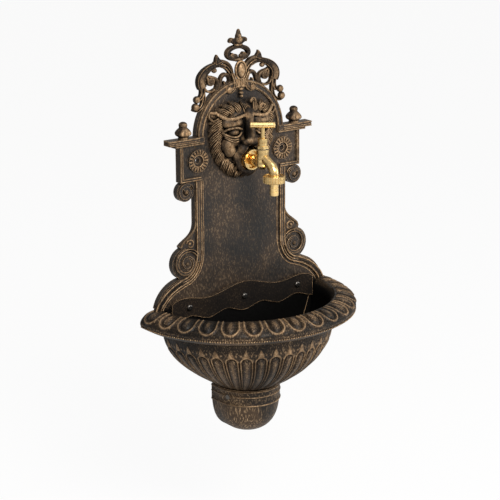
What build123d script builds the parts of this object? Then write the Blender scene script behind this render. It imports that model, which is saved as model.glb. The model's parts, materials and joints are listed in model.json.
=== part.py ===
from build123d import *
from math import cos, pi, radians, sin, sqrt
import os

# Wall fountain of cast metal: a shaped back plate with a pierced crest, a lion mask that holds a brass
# tap in its mouth, a half-round basin with a drain, and a pendant cup below that hides the drain.
# Millimetres. The origin is midway between the two wall fixing holes, on the wall plane.
# +X is to the right, +Z is up and the front faces -Y. "Out" is a distance from the wall.

# Wall fixings and their rosettes
fixing_spacing = 152.8
fixing_hole_r = 4.0
rosette_r = 17.0
rosette_eye_r = 9.0
rosette_rise = 3.0

# Back plate
plate_depth = 10.0
plate_wall = 4.5
pocket_edge = 6.0
moulding_rise = 2.5
moulding_width = 10.0
moulding_inset = 1.0
arch_r = 78.0
arch_z = 33.0
shelf_half = 128.0
shelf_top_z = 35.5
shelf_height = 7.5
shelf_out = 16.0
shelf_step = 10.0
shelf_step_height = 4.0
block_half = 108.0
block_bottom_z = -29.0
block_frame = 5.0
pad_half = 18.0
upper_scroll_r = 14.5
upper_scroll_x = 98.5
upper_scroll_z = -43.5
upper_scroll_turn = (120.0, -290.0)
waist_half = 82.0
flare_top_z = -92.0
flare_tip_x = 109.0
flare_tip_z = -125.0
volute_r = 24.5
volute_x = 98.5
volute_z = -151.5
volute_band = 7.0
volute_eye_r = 7.5
volute_turn = (80.0, -330.0)
foot_half = 152.5
foot_z = -212.0
foot_band = 9.0
foot_swell = 7.0
foot_band_reach = 0.85
tongue_half = 122.0
tongue_taper = 8.0
tongue_height = 48.0

# Shoulder finials
finial_x = 100.0
finial_out = 8.5
finial_foot_r = 7.5
finial_neck_r = 7.0
finial_belly_r = 12.4
finial_knob_r = 6.3
finial_neck_z = 2.4
finial_belly_z = 7.6
finial_slope_r = 9.6
finial_slope_z = 12.2
finial_waist_r = 5.7
finial_waist_z = 16.8
finial_height = 25.0
finial_back = 0.6
finial_stud_r = 2.5
finial_stud_length = 8.0

# Crest
crest_back = 2.0
crest_overlay = 5.5
crest_top_z = 185.5
crest_gap = 0.1
fleur_leaf_r = 6.4
fleur_leaf_height = 22.0
fleur_leaf_wide_z = 14.0
fleur_leaf_foot_r = 3.0
fleur_neck_half = 8.0
fleur_neck_height = 5.0
fleur_lobe_route = ((2.0, 0.0), (8.5, 8.0), (15.0, 6.0))
fleur_lobe_root = 4.0
fleur_lobe_width = 6.0
loop_half = 22.5
loop_height = 22.0
loop_band = 5.0
loop_drop = 2.0
loop_curl_x = 7.4
loop_curl_r = 4.6
horn = ((31.0, 140.0), (46.0, 140.0), (36.0, 151.0))
scroll_route = ((69.0, 109.0), (68.0, 121.0), (57.0, 132.0), (41.0, 138.0), (28.0, 134.0), (19.0, 122.0),
                (13.0, 110.0), (15.0, 100.5))
link_route = ((42.0, 139.0), (20.5, 139.0), (11.0, 130.0))
stem_route = ((39.0, 98.0), (40.0, 110.0), (35.0, 119.0))
stem_volute = (27.0, 114.0)
stem_volute_r = 10.5
stem_hook_route = ((41.0, 108.0), (46.0, 117.0))
stem_hook = (56.0, 111.0)
stem_hook_r = 7.0
stem_eye_r = 4.0
side_route = ((68.0, 110.0), (68.0, 98.0), (70.0, 88.0), (66.0, 78.0))
side_balls = ((76.5, 91.0), (78.5, 79.5))
scroll_width = 7.0
scroll_end_width = 12.0
scroll_tail_width = 5.0
cabochon_z = 126.0
cabochon_half = 10.0
cabochon_height = 28.0
cabochon_rise = 2.5
cabochon_band = 3.0
pendant_r = 3.8
pendant_beads = 3
pendant_pitch = 6.0
pendant_stem_half = 5.8
pendant_stem_height = 12.0
pendant_stem_bite = 4.0
curl_bridge_route = ((8.0, 118.0), (14.0, 108.0), (17.0, 99.5))
curl_x = 21.0
curl_z = 97.5
curl_r = 7.0
side_ball_r = 6.3

# Small machine screws that hold the castings from behind
screw_r = 2.0
screw_head_r = 3.6
screw_head_height = 2.2
screw_clearance = 0.25
thread_gap = 0.05
crest_screw_grip = 4.5
mask_screw_grip = 9.0
mask_screw_x = 36.0
mask_screw_z = 46.0
mask_boss_r = 5.5

# Lion mask. Places are X, out and Z, on the left side where there are two
face_z = 24.0
dome_half = 52.0
dome_rise = 26.0
mask_wall = 5.0
muzzle_r = 20.0
muzzle_out = 25.0
muzzle_z = 6.0
whisker_r = 12.0
whisker = (-12.0, 31.0, 13.0)
nose_out = 45.0
nose_z = 22.0
nose_r = 7.0
bridge_z = 52.0
bridge_out = 32.0
bridge_r = 9.0
brow_r = 8.0
brow_inner = (-6.0, 33.0, 50.0)
brow_outer = (-30.0, 25.0, 49.0)
eye_r = 6.0
eye = (-21.5, 28.5, 37.5)
cheek_r = 14.0
cheek = (-27.0, 22.0, 18.0)
chin_r = 9.0
chin_half = 9.0
chin_z = -20.0
beard_root = (0.0, 21.0, -24.0)
beard_root_r = 8.0
beard_tip = (0.0, 14.0, -33.0)
beard_tip_r = 3.0
lock_rings = ((37.0, 23.0), (44.0, 15.0))
lock_counts = (11, 15)
lock_root_r = 7.5
lock_tip_r = 4.0
lock_length = 8.5
lock_sweep = 22.0
ear_root = (-41.0, 18.0, 57.0)
ear_root_r = 8.5
ear_tip = (-51.0, 15.5, 66.0)
ear_tip_r = 4.5

# Water inlet through plate and mask
inlet_z = -3.0
socket_r = 13.0
socket_back = 1.0
socket_front = 27.0
socket_flange_r = 18.0
socket_flange_width = 2.5
socket_nut_r = 17.0
socket_nut_width = 5.0
socket_gap = 0.3
inlet_thread_r = 9.3
inlet_thread_depth = 13.0
inlet_web = 2.0
inlet_bore_r = 5.0
waterway_r = 3.5
waterway_drop = 1.0
seal_width = 1.0

# Tap
tap_out = 66.0
shank_r = 10.4
shank_back = 17.0
mouth_flange_r = 15.0
mouth_flange_wall = 1.8
mouth_flange_back = 30.0
mouth_flange_length = 12.0
mouth_gap = 0.4
tap_shoulder_r = 12.0
tap_shoulder_width = 4.0
tap_neck_r = 8.2
bulb_r = 10.0
bulb_z = 3.0
body_top_z = 17.0
body_collar_r = 9.4
body_barrel_r = 8.8
body_collar_height = 4.0
chamber_r = 7.0
seat_z = -1.0
seat_bore_r = 4.0
seat_depth = 8.0
spout_out = 93.5
spout_r = 7.1
spout_bore_r = 4.5
spout_start_z = 6.0
spout_knee_z = -8.0
spout_bend_r = 12.0
outlet_thread_r = 13.2
outlet_top_z = -17.6
outlet_thread_length = 5.0

# Valve headgear
bonnet_hex = 15.4
bonnet_hex_height = 4.5
bonnet_seal = 0.8
bonnet_barrel_r = 7.0
bonnet_neck_z = 27.0
bonnet_neck_r = 5.6
bonnet_top_z = 31.0
bonnet_skirt = 6.0
packing_r = 4.6
packing_height = 3.0
gland_r = 7.2
gland_cap = 2.0
gland_skirt = 3.5
spindle_r = 3.2
spindle_thread_r = 4.0
spindle_thread_top_z = 21.5
spindle_end_gap = 0.5
running_gap = 0.05
jumper_r = 6.0
jumper_width = 2.5
jumper_stem_r = 2.0
jumper_stem_length = 7.0
jumper_stem_gap = 1.0
valve_washer_r = 5.6
valve_washer_width = 2.0
valve_nut_r = 2.6
valve_nut_width = 2.0
valve_stud_r = 1.5
valve_lift = 5.0
bar_z = 52.5
bar_r = 4.4
bar_length = 36.4
bar_angle = -37.3
bar_round = 0.8
bar_seat = 1.2
pin_r = 1.0

# Hose union under the spout
union_r = 16.0
union_top_z = -17.2
union_height = 10.4
union_lip = 1.8
union_gap = 0.1
union_flutes = 24
union_flute_r = 0.7
tail_flange_width = 1.6
tail_r = 6.9
tail_barb = 0.5
tail_barbs = 3
tail_bore_r = 4.5
tail_bottom_z = -46.5
tail_plain = 1.0
tail_gap = 0.4
tail_flange_gap = 0.4

# Basin
rim_half = 175.0
rim_depth = 180.0
rim_straight = 10.0
rim_edge_z = -231.5
rim_lip = 31.0
rim_rise = 16.0
rim_under = 14.0
rim_edge_inset = 1.0
rim_edge_drop = 4.5
rim_lip_wall = 2.5
rim_rows = 5
egg_count = 16
egg_outer_turn = 48.0
egg_inner_turn = 72.0
egg_half = 6.2
egg_height = 2.4
bowl_straight = 22.0
bowl_top_half = 136.0
bowl_top_depth = 146.0
bowl_top_z = -250.0
bowl_foot_half = 45.0
bowl_foot_depth = 69.0
bowl_foot_z = -350.0
bowl_side_power = 1.9
bowl_front_power = 2.6
bowl_wall = 6.0
bowl_floor = 7.0
bowl_rows = 7
gadroon_count = 20
gadroon_rows = 3
gadroon_top_drop = 31.0
gadroon_foot_rise = 13.0
gadroon_share = 0.5
gadroon_height = 2.0
surface_step = 1.0
web_wall = 5.0
web_half = 138.0
spigot_wall = 4.0
spigot_height = 22.0

# Wavy clamp strip and its bolts
strip_wall = 3.0
strip_half = 130.0
strip_height = 32.0
strip_lower_wave = 4.0
strip_lower_waves = 4
web_below_strip = 1.5
wave_crest_z = -193.8
wave_dip_z = -206.4
wave_dip_x = 70.0
wave_side_z = -201.4
wave_side_x = 113.0
wave_end_z = -208.0
bolt_x = 99.8
bolt_z = -216.8
bolt_r = 2.5
bolt_clearance = 0.25
bolt_head_r = 4.8
bolt_head_height = 2.8
bolt_head_round = 2.0
bolt_end_out = 0.6
washer_r = 5.2
washer_width = 1.0
nut_flats = 8.0
nut_width = 3.8

# Drain
drain_out = 46.0
drain_tube_r = 11.0
drain_tube_bore_r = 8.5
drain_hole_gap = 0.3
drain_flange_r = 17.0
drain_flange_width = 3.0
drain_seal_width = 1.5
drain_tube_drop = 38.0
drain_nut_r = 15.5
drain_nut_width = 7.0
strainer_width = 1.5
strainer_r = 12.5
strainer_holes = 8
strainer_hole_r = 1.9
strainer_hole_pitch = 7.0
strainer_screw_r = 1.5
strainer_screw_head_r = 2.8
strainer_screw_head = 1.6
strainer_screw_length = 7.5
strainer_bridge = 5.0
strainer_bridge_bite = 0.5
strainer_bridge_height = 7.0

# Pendant cup
cup_half = 49.5
cup_depth = 74.0
cup_height = 74.5
cup_wall = 4.5
cup_gap = 0.4
cup_side_power = 3.2
cup_round_power = 2.4
cup_close = 0.985
cup_rows = 8
cup_screw_drop = 12.0
cup_screw_angle = 20.0
cup_screw_grip = 3.8
cup_screw_seat = 0.8
cup_screw_spare = 2.0

# Places that follow from the sizes above
fixing_x = fixing_spacing / 2
pocket_out = plate_depth - plate_wall
moulding_out = plate_depth + moulding_rise
shelf_bottom_z = shelf_top_z - shelf_height
step_bottom_z = shelf_bottom_z - shelf_step_height
tongue_bottom_z = foot_z - tongue_height
dome_r = (dome_half ** 2 + dome_rise ** 2) / (2 * dome_rise)
dome_out = plate_depth + dome_rise - dome_r
web_out = plate_depth + web_wall
strip_out = web_out + strip_wall
floor_z = bowl_foot_z + bowl_floor
spigot_bottom_z = bowl_foot_z - spigot_height
cup_bottom_z = bowl_foot_z - cup_height
cup_screw_z = bowl_foot_z - cup_screw_drop
drain_tube_end_z = bowl_foot_z - drain_tube_drop
gland_top_z = bonnet_top_z + gland_cap
jumper_top_z = seat_z + valve_washer_width + jumper_width
union_lip_z = union_top_z - union_height + union_lip
tail_flange_z = union_lip_z + tail_flange_width
outlet_end_z = outlet_top_z - outlet_thread_length
tail_flange_r = outlet_thread_r - tail_flange_gap
union_bore_r = outlet_thread_r + union_gap
drain_flange_z = floor_z + drain_seal_width
strainer_z = drain_flange_z + drain_flange_width


# Shape helpers

def front(outline, start, end):
    """Extrudes a front-view outline, drawn in X and Z, between two distances out from the wall."""
    return extrude(Plane.XZ.offset(start) * outline, amount=end - start)


def rod(radius, start, end, x=0.0, z=0.0):
    """Cylinder that runs straight out from the wall."""
    return front(Pos(x, z) * Circle(radius), start, end)


def post(radius, bottom, top, x=0.0, out=0.0):
    """Upright cylinder."""
    return Pos(x, -out, bottom) * extrude(Circle(radius), amount=top - bottom)


def ball(radius, x, out, z):
    return Pos(x, -out, z) * Sphere(radius)


def limb(start, start_r, end, end_r):
    """Tapered limb with round ends, between two points given as X, out and Z."""
    tail = Vector(start[0], -start[1], start[2])
    run = Vector(end[0], -end[1], end[2]) - tail
    length = run.length
    slant = sqrt(0.5)
    near = ThreePointArc((0, -start_r), (start_r * slant, -start_r * slant), (start_r, 0))
    far = ThreePointArc((end_r, length), (end_r * slant, length + end_r * slant), (0, length + end_r))
    face = shape(near, Line(near @ 1, far @ 0), far, Line(far @ 1, near @ 0))
    return Plane(origin=tail, z_dir=run) * revolve(Plane.XZ * face, Axis.Z)


def lathe(profile, out=0.0, x=0.0):
    """Turned solid about an upright axis. The profile lists radius and height."""
    face = make_face(Polyline(*profile, close=True))
    return Pos(x, -out, 0) * revolve(Plane.XZ * face, Axis.Z)


def box_outline(left, right, bottom, top):
    return Pos((left + right) / 2, (bottom + top) / 2) * Rectangle(right - left, top - bottom)


def both_sides(outline):
    """An outline with its mirror image across the middle of the fountain."""
    return outline + mirror(outline, about=Plane.YZ)


def shape(*edges):
    return make_face(list(edges))


def ribbon(route, start_width, end_width):
    """Tapering band with round ends along a smooth curve through the route's points."""
    path = Spline(*route)
    steps = 2 * len(route)
    left = []
    right = []
    for step in range(steps + 1):
        share = step / steps
        half = (start_width + (end_width - start_width) * share) / 2
        along = path % share
        aside = Vector(-along.Y, along.X) * half
        left.append(path @ share + aside)
        right.append(path @ share - aside)
    near = Spline(*left)
    far = Spline(*reversed(right))
    band = shape(near, Line(near @ 1, far @ 0), far, Line(far @ 1, near @ 0))
    ends = [Pos(*(path @ 0)) * Circle(start_width / 2), Pos(*(path @ 1)) * Circle(end_width / 2)]
    return Sketch() + [band] + ends


def spiral(x, z, start_r, end_r, start_angle, end_angle, count=8):
    """Points of a spiral about a centre, from one radius and angle to another."""
    points = []
    for index in range(count + 1):
        share = index / count
        radius = start_r + (end_r - start_r) * share
        angle = radians(start_angle + (end_angle - start_angle) * share)
        points.append((x + radius * cos(angle), z + radius * sin(angle)))
    return points


def half_round(half, depth, straight, back=0.0):
    """Edges of a half-round plan, from the back on the left round to the back on the right."""
    reach = depth - straight
    left = EllipticalCenterArc((0, -straight), half, reach, start_angle=180, arc_size=90)
    right = EllipticalCenterArc((0, -straight), half, reach, start_angle=270, arc_size=90)
    return [Line((-half, back), (-half, -straight)), left, right, Line((half, -straight), (half, back))]


def plan(half, depth, straight, z, back=0.0):
    """Half-round plan at a height: straight sides out from the wall, then half an ellipse."""
    edges = half_round(half, depth, straight, back)
    edges.append(Line((half, back), (-half, back)))
    return Pos(0, 0, z) * make_face(edges)


def pan_screw(grip_start, grip_end, radius, head_r, head_height, x, z):
    """Screw driven from behind: its head sits at the start of the grip, towards the wall."""
    shank = rod(radius, grip_start, grip_end, x, z)
    return shank + rod(head_r, grip_start - head_height, grip_start, x, z)


# Back plate

def plate_outline():
    arch = Pos(0, arch_z) * Circle(arch_r) + box_outline(-arch_r, arch_r, step_bottom_z, arch_z)
    block = box_outline(-block_half, block_half, block_bottom_z, shelf_bottom_z)
    shelf = box_outline(-shelf_half, shelf_half, shelf_bottom_z, shelf_top_z)
    step_half = shelf_half - shelf_step
    step = box_outline(-step_half, step_half, step_bottom_z, shelf_bottom_z)
    waist = box_outline(-waist_half, waist_half, foot_z, block_bottom_z)
    hook = Pos(upper_scroll_x, upper_scroll_z) * Circle(upper_scroll_r)
    hook += box_outline(waist_half - moulding_width, upper_scroll_x, upper_scroll_z, block_bottom_z)
    sides = both_sides(hook + flare_outline() + volute_outline() + foot_outline())
    return arch + block + shelf + step + waist + sides + tongue_outline()


def flare_outline():
    """Side outline that leaves the waist and swells out over the volute."""
    lead = (flare_top_z - flare_tip_z) / 3
    curve = Bezier((waist_half, flare_top_z), (waist_half, flare_top_z - 2 * lead),
                   (flare_tip_x - lead, flare_tip_z + lead), (flare_tip_x, flare_tip_z))
    inner = waist_half - moulding_width
    return shape(curve, Line((flare_tip_x, flare_tip_z), (volute_x, volute_z)),
                 Line((volute_x, volute_z), (inner, volute_z)),
                 Line((inner, volute_z), (inner, flare_top_z)),
                 Line((inner, flare_top_z), (waist_half, flare_top_z)))


def volute_outline():
    return Pos(volute_x, volute_z) * Circle(volute_r)


def foot_curve(inset=0.0):
    """Swelling upper edge of the foot, from under the volute out to the tip."""
    start = (volute_x + volute_band - inset, volute_z - volute_r + volute_band / 2 - inset)
    end = (foot_half - inset, foot_z)
    middle = ((start[0] + end[0]) / 2 + foot_swell, (start[1] + end[1]) / 2 + foot_swell)
    return ThreePointArc(start, middle, end)


def foot_outline():
    curve = foot_curve()
    inner = waist_half - moulding_width
    start = curve @ 0
    end = curve @ 1
    return shape(curve, Line(end, (inner, foot_z)), Line((inner, foot_z), (inner, volute_z)),
                 Line((inner, volute_z), start))


def tongue_outline():
    """Lower part of the plate, hidden behind the back wall of the basin."""
    low_half = tongue_half - tongue_taper
    corners = [(-tongue_half, foot_z), (tongue_half, foot_z), (low_half, tongue_bottom_z),
               (-low_half, tongue_bottom_z)]
    return make_face(Polyline(*corners, close=True))


def plate_pocket():
    """Hollow in the back of the casting, clear of the pads round the wall fixings."""
    inner_arch = Pos(0, arch_z) * Circle(arch_r - pocket_edge)
    middle_half = fixing_x - pad_half
    middle = box_outline(-middle_half, middle_half, block_bottom_z, arch_z)
    pads = both_sides(Pos(fixing_x, 0) * Circle(pad_half))
    waist = box_outline(pocket_edge - waist_half, waist_half - pocket_edge, foot_z, block_bottom_z)
    low_half = tongue_half - tongue_taper - pocket_edge
    low = box_outline(-low_half, low_half, tongue_bottom_z + pocket_edge, foot_z + pad_half)
    return inner_arch + middle - pads + waist + low


def plate_mouldings():
    """Raised bands on the front: arch, shoulder frames, waist, volutes and feet."""
    outer = arch_r - moulding_inset
    ring = Pos(0, arch_z) * (Circle(outer) - Circle(outer - moulding_width))
    ring -= box_outline(-arch_r, arch_r, arch_z - arch_r, arch_z)
    leg = box_outline(outer - moulding_width, outer, step_bottom_z, arch_z)
    frame = box_outline(block_half - block_frame, block_half, block_bottom_z, step_bottom_z)
    frame += box_outline(waist_half - moulding_width, block_half, block_bottom_z,
                         block_bottom_z + block_frame)
    hook_r = upper_scroll_r - moulding_inset - block_frame / 2
    hook = ribbon(spiral(upper_scroll_x, upper_scroll_z, hook_r, block_frame, *upper_scroll_turn),
                  block_frame, block_frame)
    waist = box_outline(waist_half - moulding_width, waist_half - moulding_inset, volute_z, block_bottom_z)
    volute_line_r = volute_r - moulding_inset - volute_band / 2
    volute = ribbon(spiral(volute_x, volute_z, volute_line_r, volute_eye_r, *volute_turn),
                    volute_band, volute_band / 2)
    volute += Pos(volute_x, volute_z) * Circle(volute_eye_r)
    foot_line = foot_curve(foot_band / 2 + moulding_inset)
    foot_route = [foot_line @ (foot_band_reach * index / 3) for index in range(4)]
    foot = foot_outline() & ribbon(foot_route, foot_band, foot_band)
    return ring + both_sides(Sketch() + [leg, frame, hook, waist, volute, foot])


def back_plate():
    plate = front(plate_outline(), 0, plate_depth)
    plate += front(plate_mouldings(), plate_depth, moulding_out)
    inner = arch_r - moulding_width
    shelf = both_sides(box_outline(inner, shelf_half, shelf_bottom_z, shelf_top_z))
    step = both_sides(box_outline(inner, shelf_half - shelf_step, step_bottom_z, shelf_bottom_z))
    plate += front(shelf, plate_depth, shelf_out)
    plate += front(step, plate_depth, (shelf_out + moulding_out) / 2)
    for side in (-1, 1):
        plate += rod(rosette_r, plate_depth, plate_depth + rosette_rise, side * fixing_x)
    cuts = [front(plate_pocket(), 0, pocket_out),
            rod(socket_r + socket_gap, 0, moulding_out, 0, inlet_z)]
    for side in (-1, 1):
        cuts.append(rod(fixing_hole_r, 0, shelf_out, side * fixing_x))
        cuts.append(rod(rosette_eye_r, plate_depth, plate_depth + rosette_rise, side * fixing_x))
        cuts.append(rod(screw_r + screw_clearance, 0, shelf_out, side * curl_x, curl_z))
        cuts.append(rod(screw_r + screw_clearance, 0, shelf_out, side * mask_screw_x, mask_screw_z))
        cuts.append(post(finial_stud_r + thread_gap, shelf_top_z - finial_stud_length, shelf_top_z,
                         side * finial_x, finial_out))
    for x in (-bolt_x, 0, bolt_x):
        cuts.append(rod(bolt_r + bolt_clearance, 0, shelf_out, x, bolt_z))
    return plate - cuts


def finial(side):
    """Turned shoulder finial, flat at the back, on a stud that screws into the shelf."""
    top = shelf_top_z + finial_height
    waist = (finial_waist_r, shelf_top_z + finial_waist_z)
    rising = Spline((finial_foot_r, shelf_top_z), (finial_neck_r, shelf_top_z + finial_neck_z),
                    (finial_belly_r, shelf_top_z + finial_belly_z),
                    (finial_slope_r, shelf_top_z + finial_slope_z), waist)
    knob = Spline(waist, (finial_knob_r, (waist[1] + top) / 2), (0, top), tangents=[(0.6, 1), (-1, 0)])
    face = shape(rising, knob, Line((0, top), (0, shelf_top_z)),
                 Line((0, shelf_top_z), (finial_foot_r, shelf_top_z)))
    turned = Pos(side * finial_x, -finial_out, 0) * revolve(Plane.XZ * face, Axis.Z)
    keep = front(box_outline(side * finial_x - 2 * finial_belly_r, side * finial_x + 2 * finial_belly_r,
                             shelf_top_z, top), finial_back, finial_out + 2 * finial_belly_r)
    stud = post(finial_stud_r, shelf_top_z - finial_stud_length, shelf_top_z, side * finial_x, finial_out)
    return (turned & keep) + stud


# Crest

def fleur_outline():
    """Three-leaf flower at the top of the crest."""
    leaf_base = crest_top_z - fleur_leaf_height
    right = Spline((0, crest_top_z), (fleur_leaf_r, leaf_base + fleur_leaf_wide_z),
                   (fleur_leaf_foot_r, leaf_base))
    left = mirror(right, about=Plane.YZ)
    leaf = shape(right, Line(right @ 1, left @ 1), left)
    neck = box_outline(-fleur_neck_half, fleur_neck_half, leaf_base - fleur_neck_height,
                       leaf_base + fleur_lobe_root / 2)
    lobe = ribbon([(x, leaf_base + rise) for x, rise in fleur_lobe_route], fleur_lobe_root, fleur_lobe_width)
    return Sketch() + [leaf, neck, lobe, mirror(lobe, about=Plane.YZ)]


def loop_outline():
    """Oval loop under the flower, with two curls in its lower half."""
    loop_z = crest_top_z - fleur_leaf_height - loop_height / 2 - loop_drop
    outer = Ellipse(loop_half, loop_height / 2)
    inner = Ellipse(loop_half - loop_band, loop_height / 2 - loop_band)
    curl = Pos(loop_curl_x, loop_z - loop_height / 2 + loop_band) * Circle(loop_curl_r)
    return Pos(0, loop_z) * (outer - inner) + both_sides(curl)


def main_scroll():
    """Big leafy scroll: from its broad outer end over the top and down beside the cabochon."""
    over = ribbon(scroll_route, scroll_end_width, scroll_tail_width)
    link = ribbon(link_route, scroll_width, scroll_tail_width)
    return Sketch() + [over, link, make_face(Polyline(*horn, close=True))]


def inner_scroll():
    """Stem that stands on the arch and parts into two volutes inside the big scroll."""
    volute = ribbon(list(stem_route) + spiral(*stem_volute, stem_volute_r, stem_eye_r, 60, 300, 6),
                    scroll_width, scroll_tail_width)
    hook = ribbon(list(stem_hook_route) + spiral(*stem_hook, stem_hook_r, stem_eye_r, 130, -140, 5),
                  scroll_width, scroll_tail_width)
    eyes = [Pos(*centre) * Circle(stem_eye_r) for centre in (stem_volute, stem_hook)]
    return Sketch() + [volute, hook] + eyes


def side_scroll():
    """Two-ball scroll on the flank of the arch, below the outer end of the big scroll."""
    stem = ribbon(side_route, scroll_end_width, scroll_width)
    return Sketch() + [stem] + [Pos(*centre) * Circle(side_ball_r) for centre in side_balls]


def cabochon_outline():
    return Pos(0, cabochon_z) * Ellipse(cabochon_half, cabochon_height / 2)


def overlay_outline():
    """Front layer of the crest: cabochon, stem, pendant and the curls that lie over the arch."""
    stem_top = cabochon_z - cabochon_height / 2
    stem_foot = stem_top - pendant_stem_height
    stem = box_outline(-pendant_stem_half, pendant_stem_half, stem_foot, stem_top + pendant_stem_bite)
    pieces = [cabochon_outline(), stem]
    for bead in range(pendant_beads):
        pieces.append(Pos(0, stem_foot - pendant_r / 2 - pendant_pitch * bead) * Circle(pendant_r))
    bridge = ribbon(curl_bridge_route, scroll_width, scroll_width)
    pieces.append(both_sides(bridge))
    pieces.append(both_sides(Pos(curl_x, curl_z) * Circle(curl_r)))
    return Sketch() + pieces


def crest():
    base = Sketch() + [fleur_outline(), loop_outline(), cabochon_outline()]
    for piece in (main_scroll(), inner_scroll(), side_scroll()):
        base += both_sides(piece)
    overlay_end = moulding_out + crest_overlay - moulding_rise
    solid = front(base, crest_back, plate_depth) + front(overlay_outline(), plate_depth, overlay_end)
    dome = Pos(0, cabochon_z) * Ellipse(cabochon_half - cabochon_band, cabochon_height / 2 - cabochon_band)
    solid += front(dome, plate_depth, overlay_end + cabochon_rise)
    solid -= rod(arch_r + crest_gap, 0, moulding_out, 0, arch_z)
    for side in (-1, 1):
        solid -= rod(screw_r + thread_gap, 0, pocket_out + crest_screw_grip + plate_wall,
                     side * curl_x, curl_z)
    return solid


def crest_screws():
    start = pocket_out
    end = pocket_out + crest_screw_grip + plate_wall
    return [pan_screw(start, end, screw_r, screw_head_r, screw_head_height, side * curl_x, curl_z)
            for side in (-1, 1)]


# Lion mask

def mane_locks():
    """Rings of hair locks that start on the face's edge and sweep down and outwards."""
    locks = []
    for (ring_r, ring_out), count in zip(lock_rings, lock_counts):
        for index in range(count):
            turn = 2 * pi * (index + 0.5) / count
            x = ring_r * sin(turn)
            z = face_z + ring_r * cos(turn)
            lean = turn + radians(lock_sweep) * (1 if x > 0 else -1)
            tip = (x + lock_length * sin(lean), plate_depth + lock_tip_r / 2, z + lock_length * cos(lean))
            locks.append(limb((x, ring_out, z), lock_root_r, tip, lock_tip_r))
    return locks


def lion_mask():
    face = [ball(muzzle_r, 0, muzzle_out, muzzle_z)]
    face.append(limb((0, bridge_out, bridge_z), bridge_r, (0, nose_out - nose_r, nose_z), nose_r))
    face.append(limb((-chin_half, muzzle_out, chin_z), chin_r, (chin_half, muzzle_out, chin_z), chin_r))
    face.append(limb(beard_root, beard_root_r, beard_tip, beard_tip_r))
    left = [ball(whisker_r, *whisker), ball(cheek_r, *cheek), ball(eye_r, *eye),
            limb(brow_inner, brow_r, brow_outer, brow_r), limb(ear_root, ear_root_r, ear_tip, ear_tip_r)]
    face += left + [mirror(piece, about=Plane.YZ) for piece in left]
    solid = Part() + ([ball(dome_r, 0, dome_out, face_z)] + mane_locks())
    for piece in face:
        solid += piece
    behind = box_outline(-2 * dome_r, 2 * dome_r, face_z - 2 * dome_r, face_z + 2 * dome_r)
    solid -= front(behind, -2 * dome_r, plate_depth)
    solid -= ball(dome_r - mask_wall, 0, dome_out, face_z)
    for side in (-1, 1):
        boss_end = plate_depth + mask_screw_grip + mask_boss_r
        boss = rod(mask_boss_r, plate_depth, boss_end, side * mask_screw_x, mask_screw_z)
        solid += boss & ball(dome_r, 0, dome_out, face_z)
    solid -= rod(socket_r + socket_gap + mouth_gap, plate_depth, mouth_flange_back, 0, inlet_z)
    solid -= rod(socket_nut_r + socket_gap, plate_depth, plate_depth + socket_nut_width + socket_gap,
                 0, inlet_z)
    solid -= rod(mouth_flange_r + mouth_gap, mouth_flange_back, nose_out, 0, inlet_z)
    for side in (-1, 1):
        solid -= rod(screw_r + thread_gap, plate_depth, plate_depth + mask_screw_grip,
                     side * mask_screw_x, mask_screw_z)
    return solid


def mask_screws():
    end = plate_depth + mask_screw_grip
    return [pan_screw(pocket_out, end, screw_r, screw_head_r, screw_head_height,
                      side * mask_screw_x, mask_screw_z) for side in (-1, 1)]


# Water inlet

def inlet_socket():
    """Threaded socket through the plate: the house pipe enters from behind, the tap from the front."""
    flange_end = pocket_out - seal_width
    solid = rod(socket_r, socket_back, socket_front, 0, inlet_z)
    solid += rod(socket_flange_r, flange_end - socket_flange_width, flange_end, 0, inlet_z)
    thread_end = socket_back + inlet_thread_depth
    solid -= rod(inlet_thread_r, socket_back, thread_end, 0, inlet_z)
    solid -= rod(inlet_bore_r, thread_end, socket_front, 0, inlet_z)
    return solid - rod(shank_r + thread_gap, thread_end + inlet_web, socket_front, 0, inlet_z)


def socket_seal():
    ring = Circle(socket_flange_r) - Circle(socket_r + thread_gap)
    return front(Pos(0, inlet_z) * ring, pocket_out - seal_width, pocket_out)


def socket_nut():
    ring = RegularPolygon(socket_nut_r, 6) - Circle(socket_r + thread_gap)
    return front(Pos(0, inlet_z) * ring, plate_depth, plate_depth + socket_nut_width)


def mouth_flange():
    """Brass cup ring in the lion's mouth, held by the shoulder of the tap."""
    end = mouth_flange_back + mouth_flange_length
    solid = rod(mouth_flange_r, mouth_flange_back, end, 0, inlet_z)
    solid -= rod(mouth_flange_r - mouth_flange_wall, mouth_flange_back + mouth_flange_wall, end, 0, inlet_z)
    return solid - rod(shank_r + thread_gap, mouth_flange_back, end, 0, inlet_z)


# Tap

def spout_path(start_z):
    corners = [(0, -tap_out, start_z), (0, -spout_out, spout_knee_z + start_z - spout_start_z),
               (0, -spout_out, outlet_end_z)]
    return FilletPolyline(*corners, radius=spout_bend_r)


def tube(path, radius):
    return sweep(Plane(origin=path @ 0, z_dir=path % 0) * Circle(radius), path=path)


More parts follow.
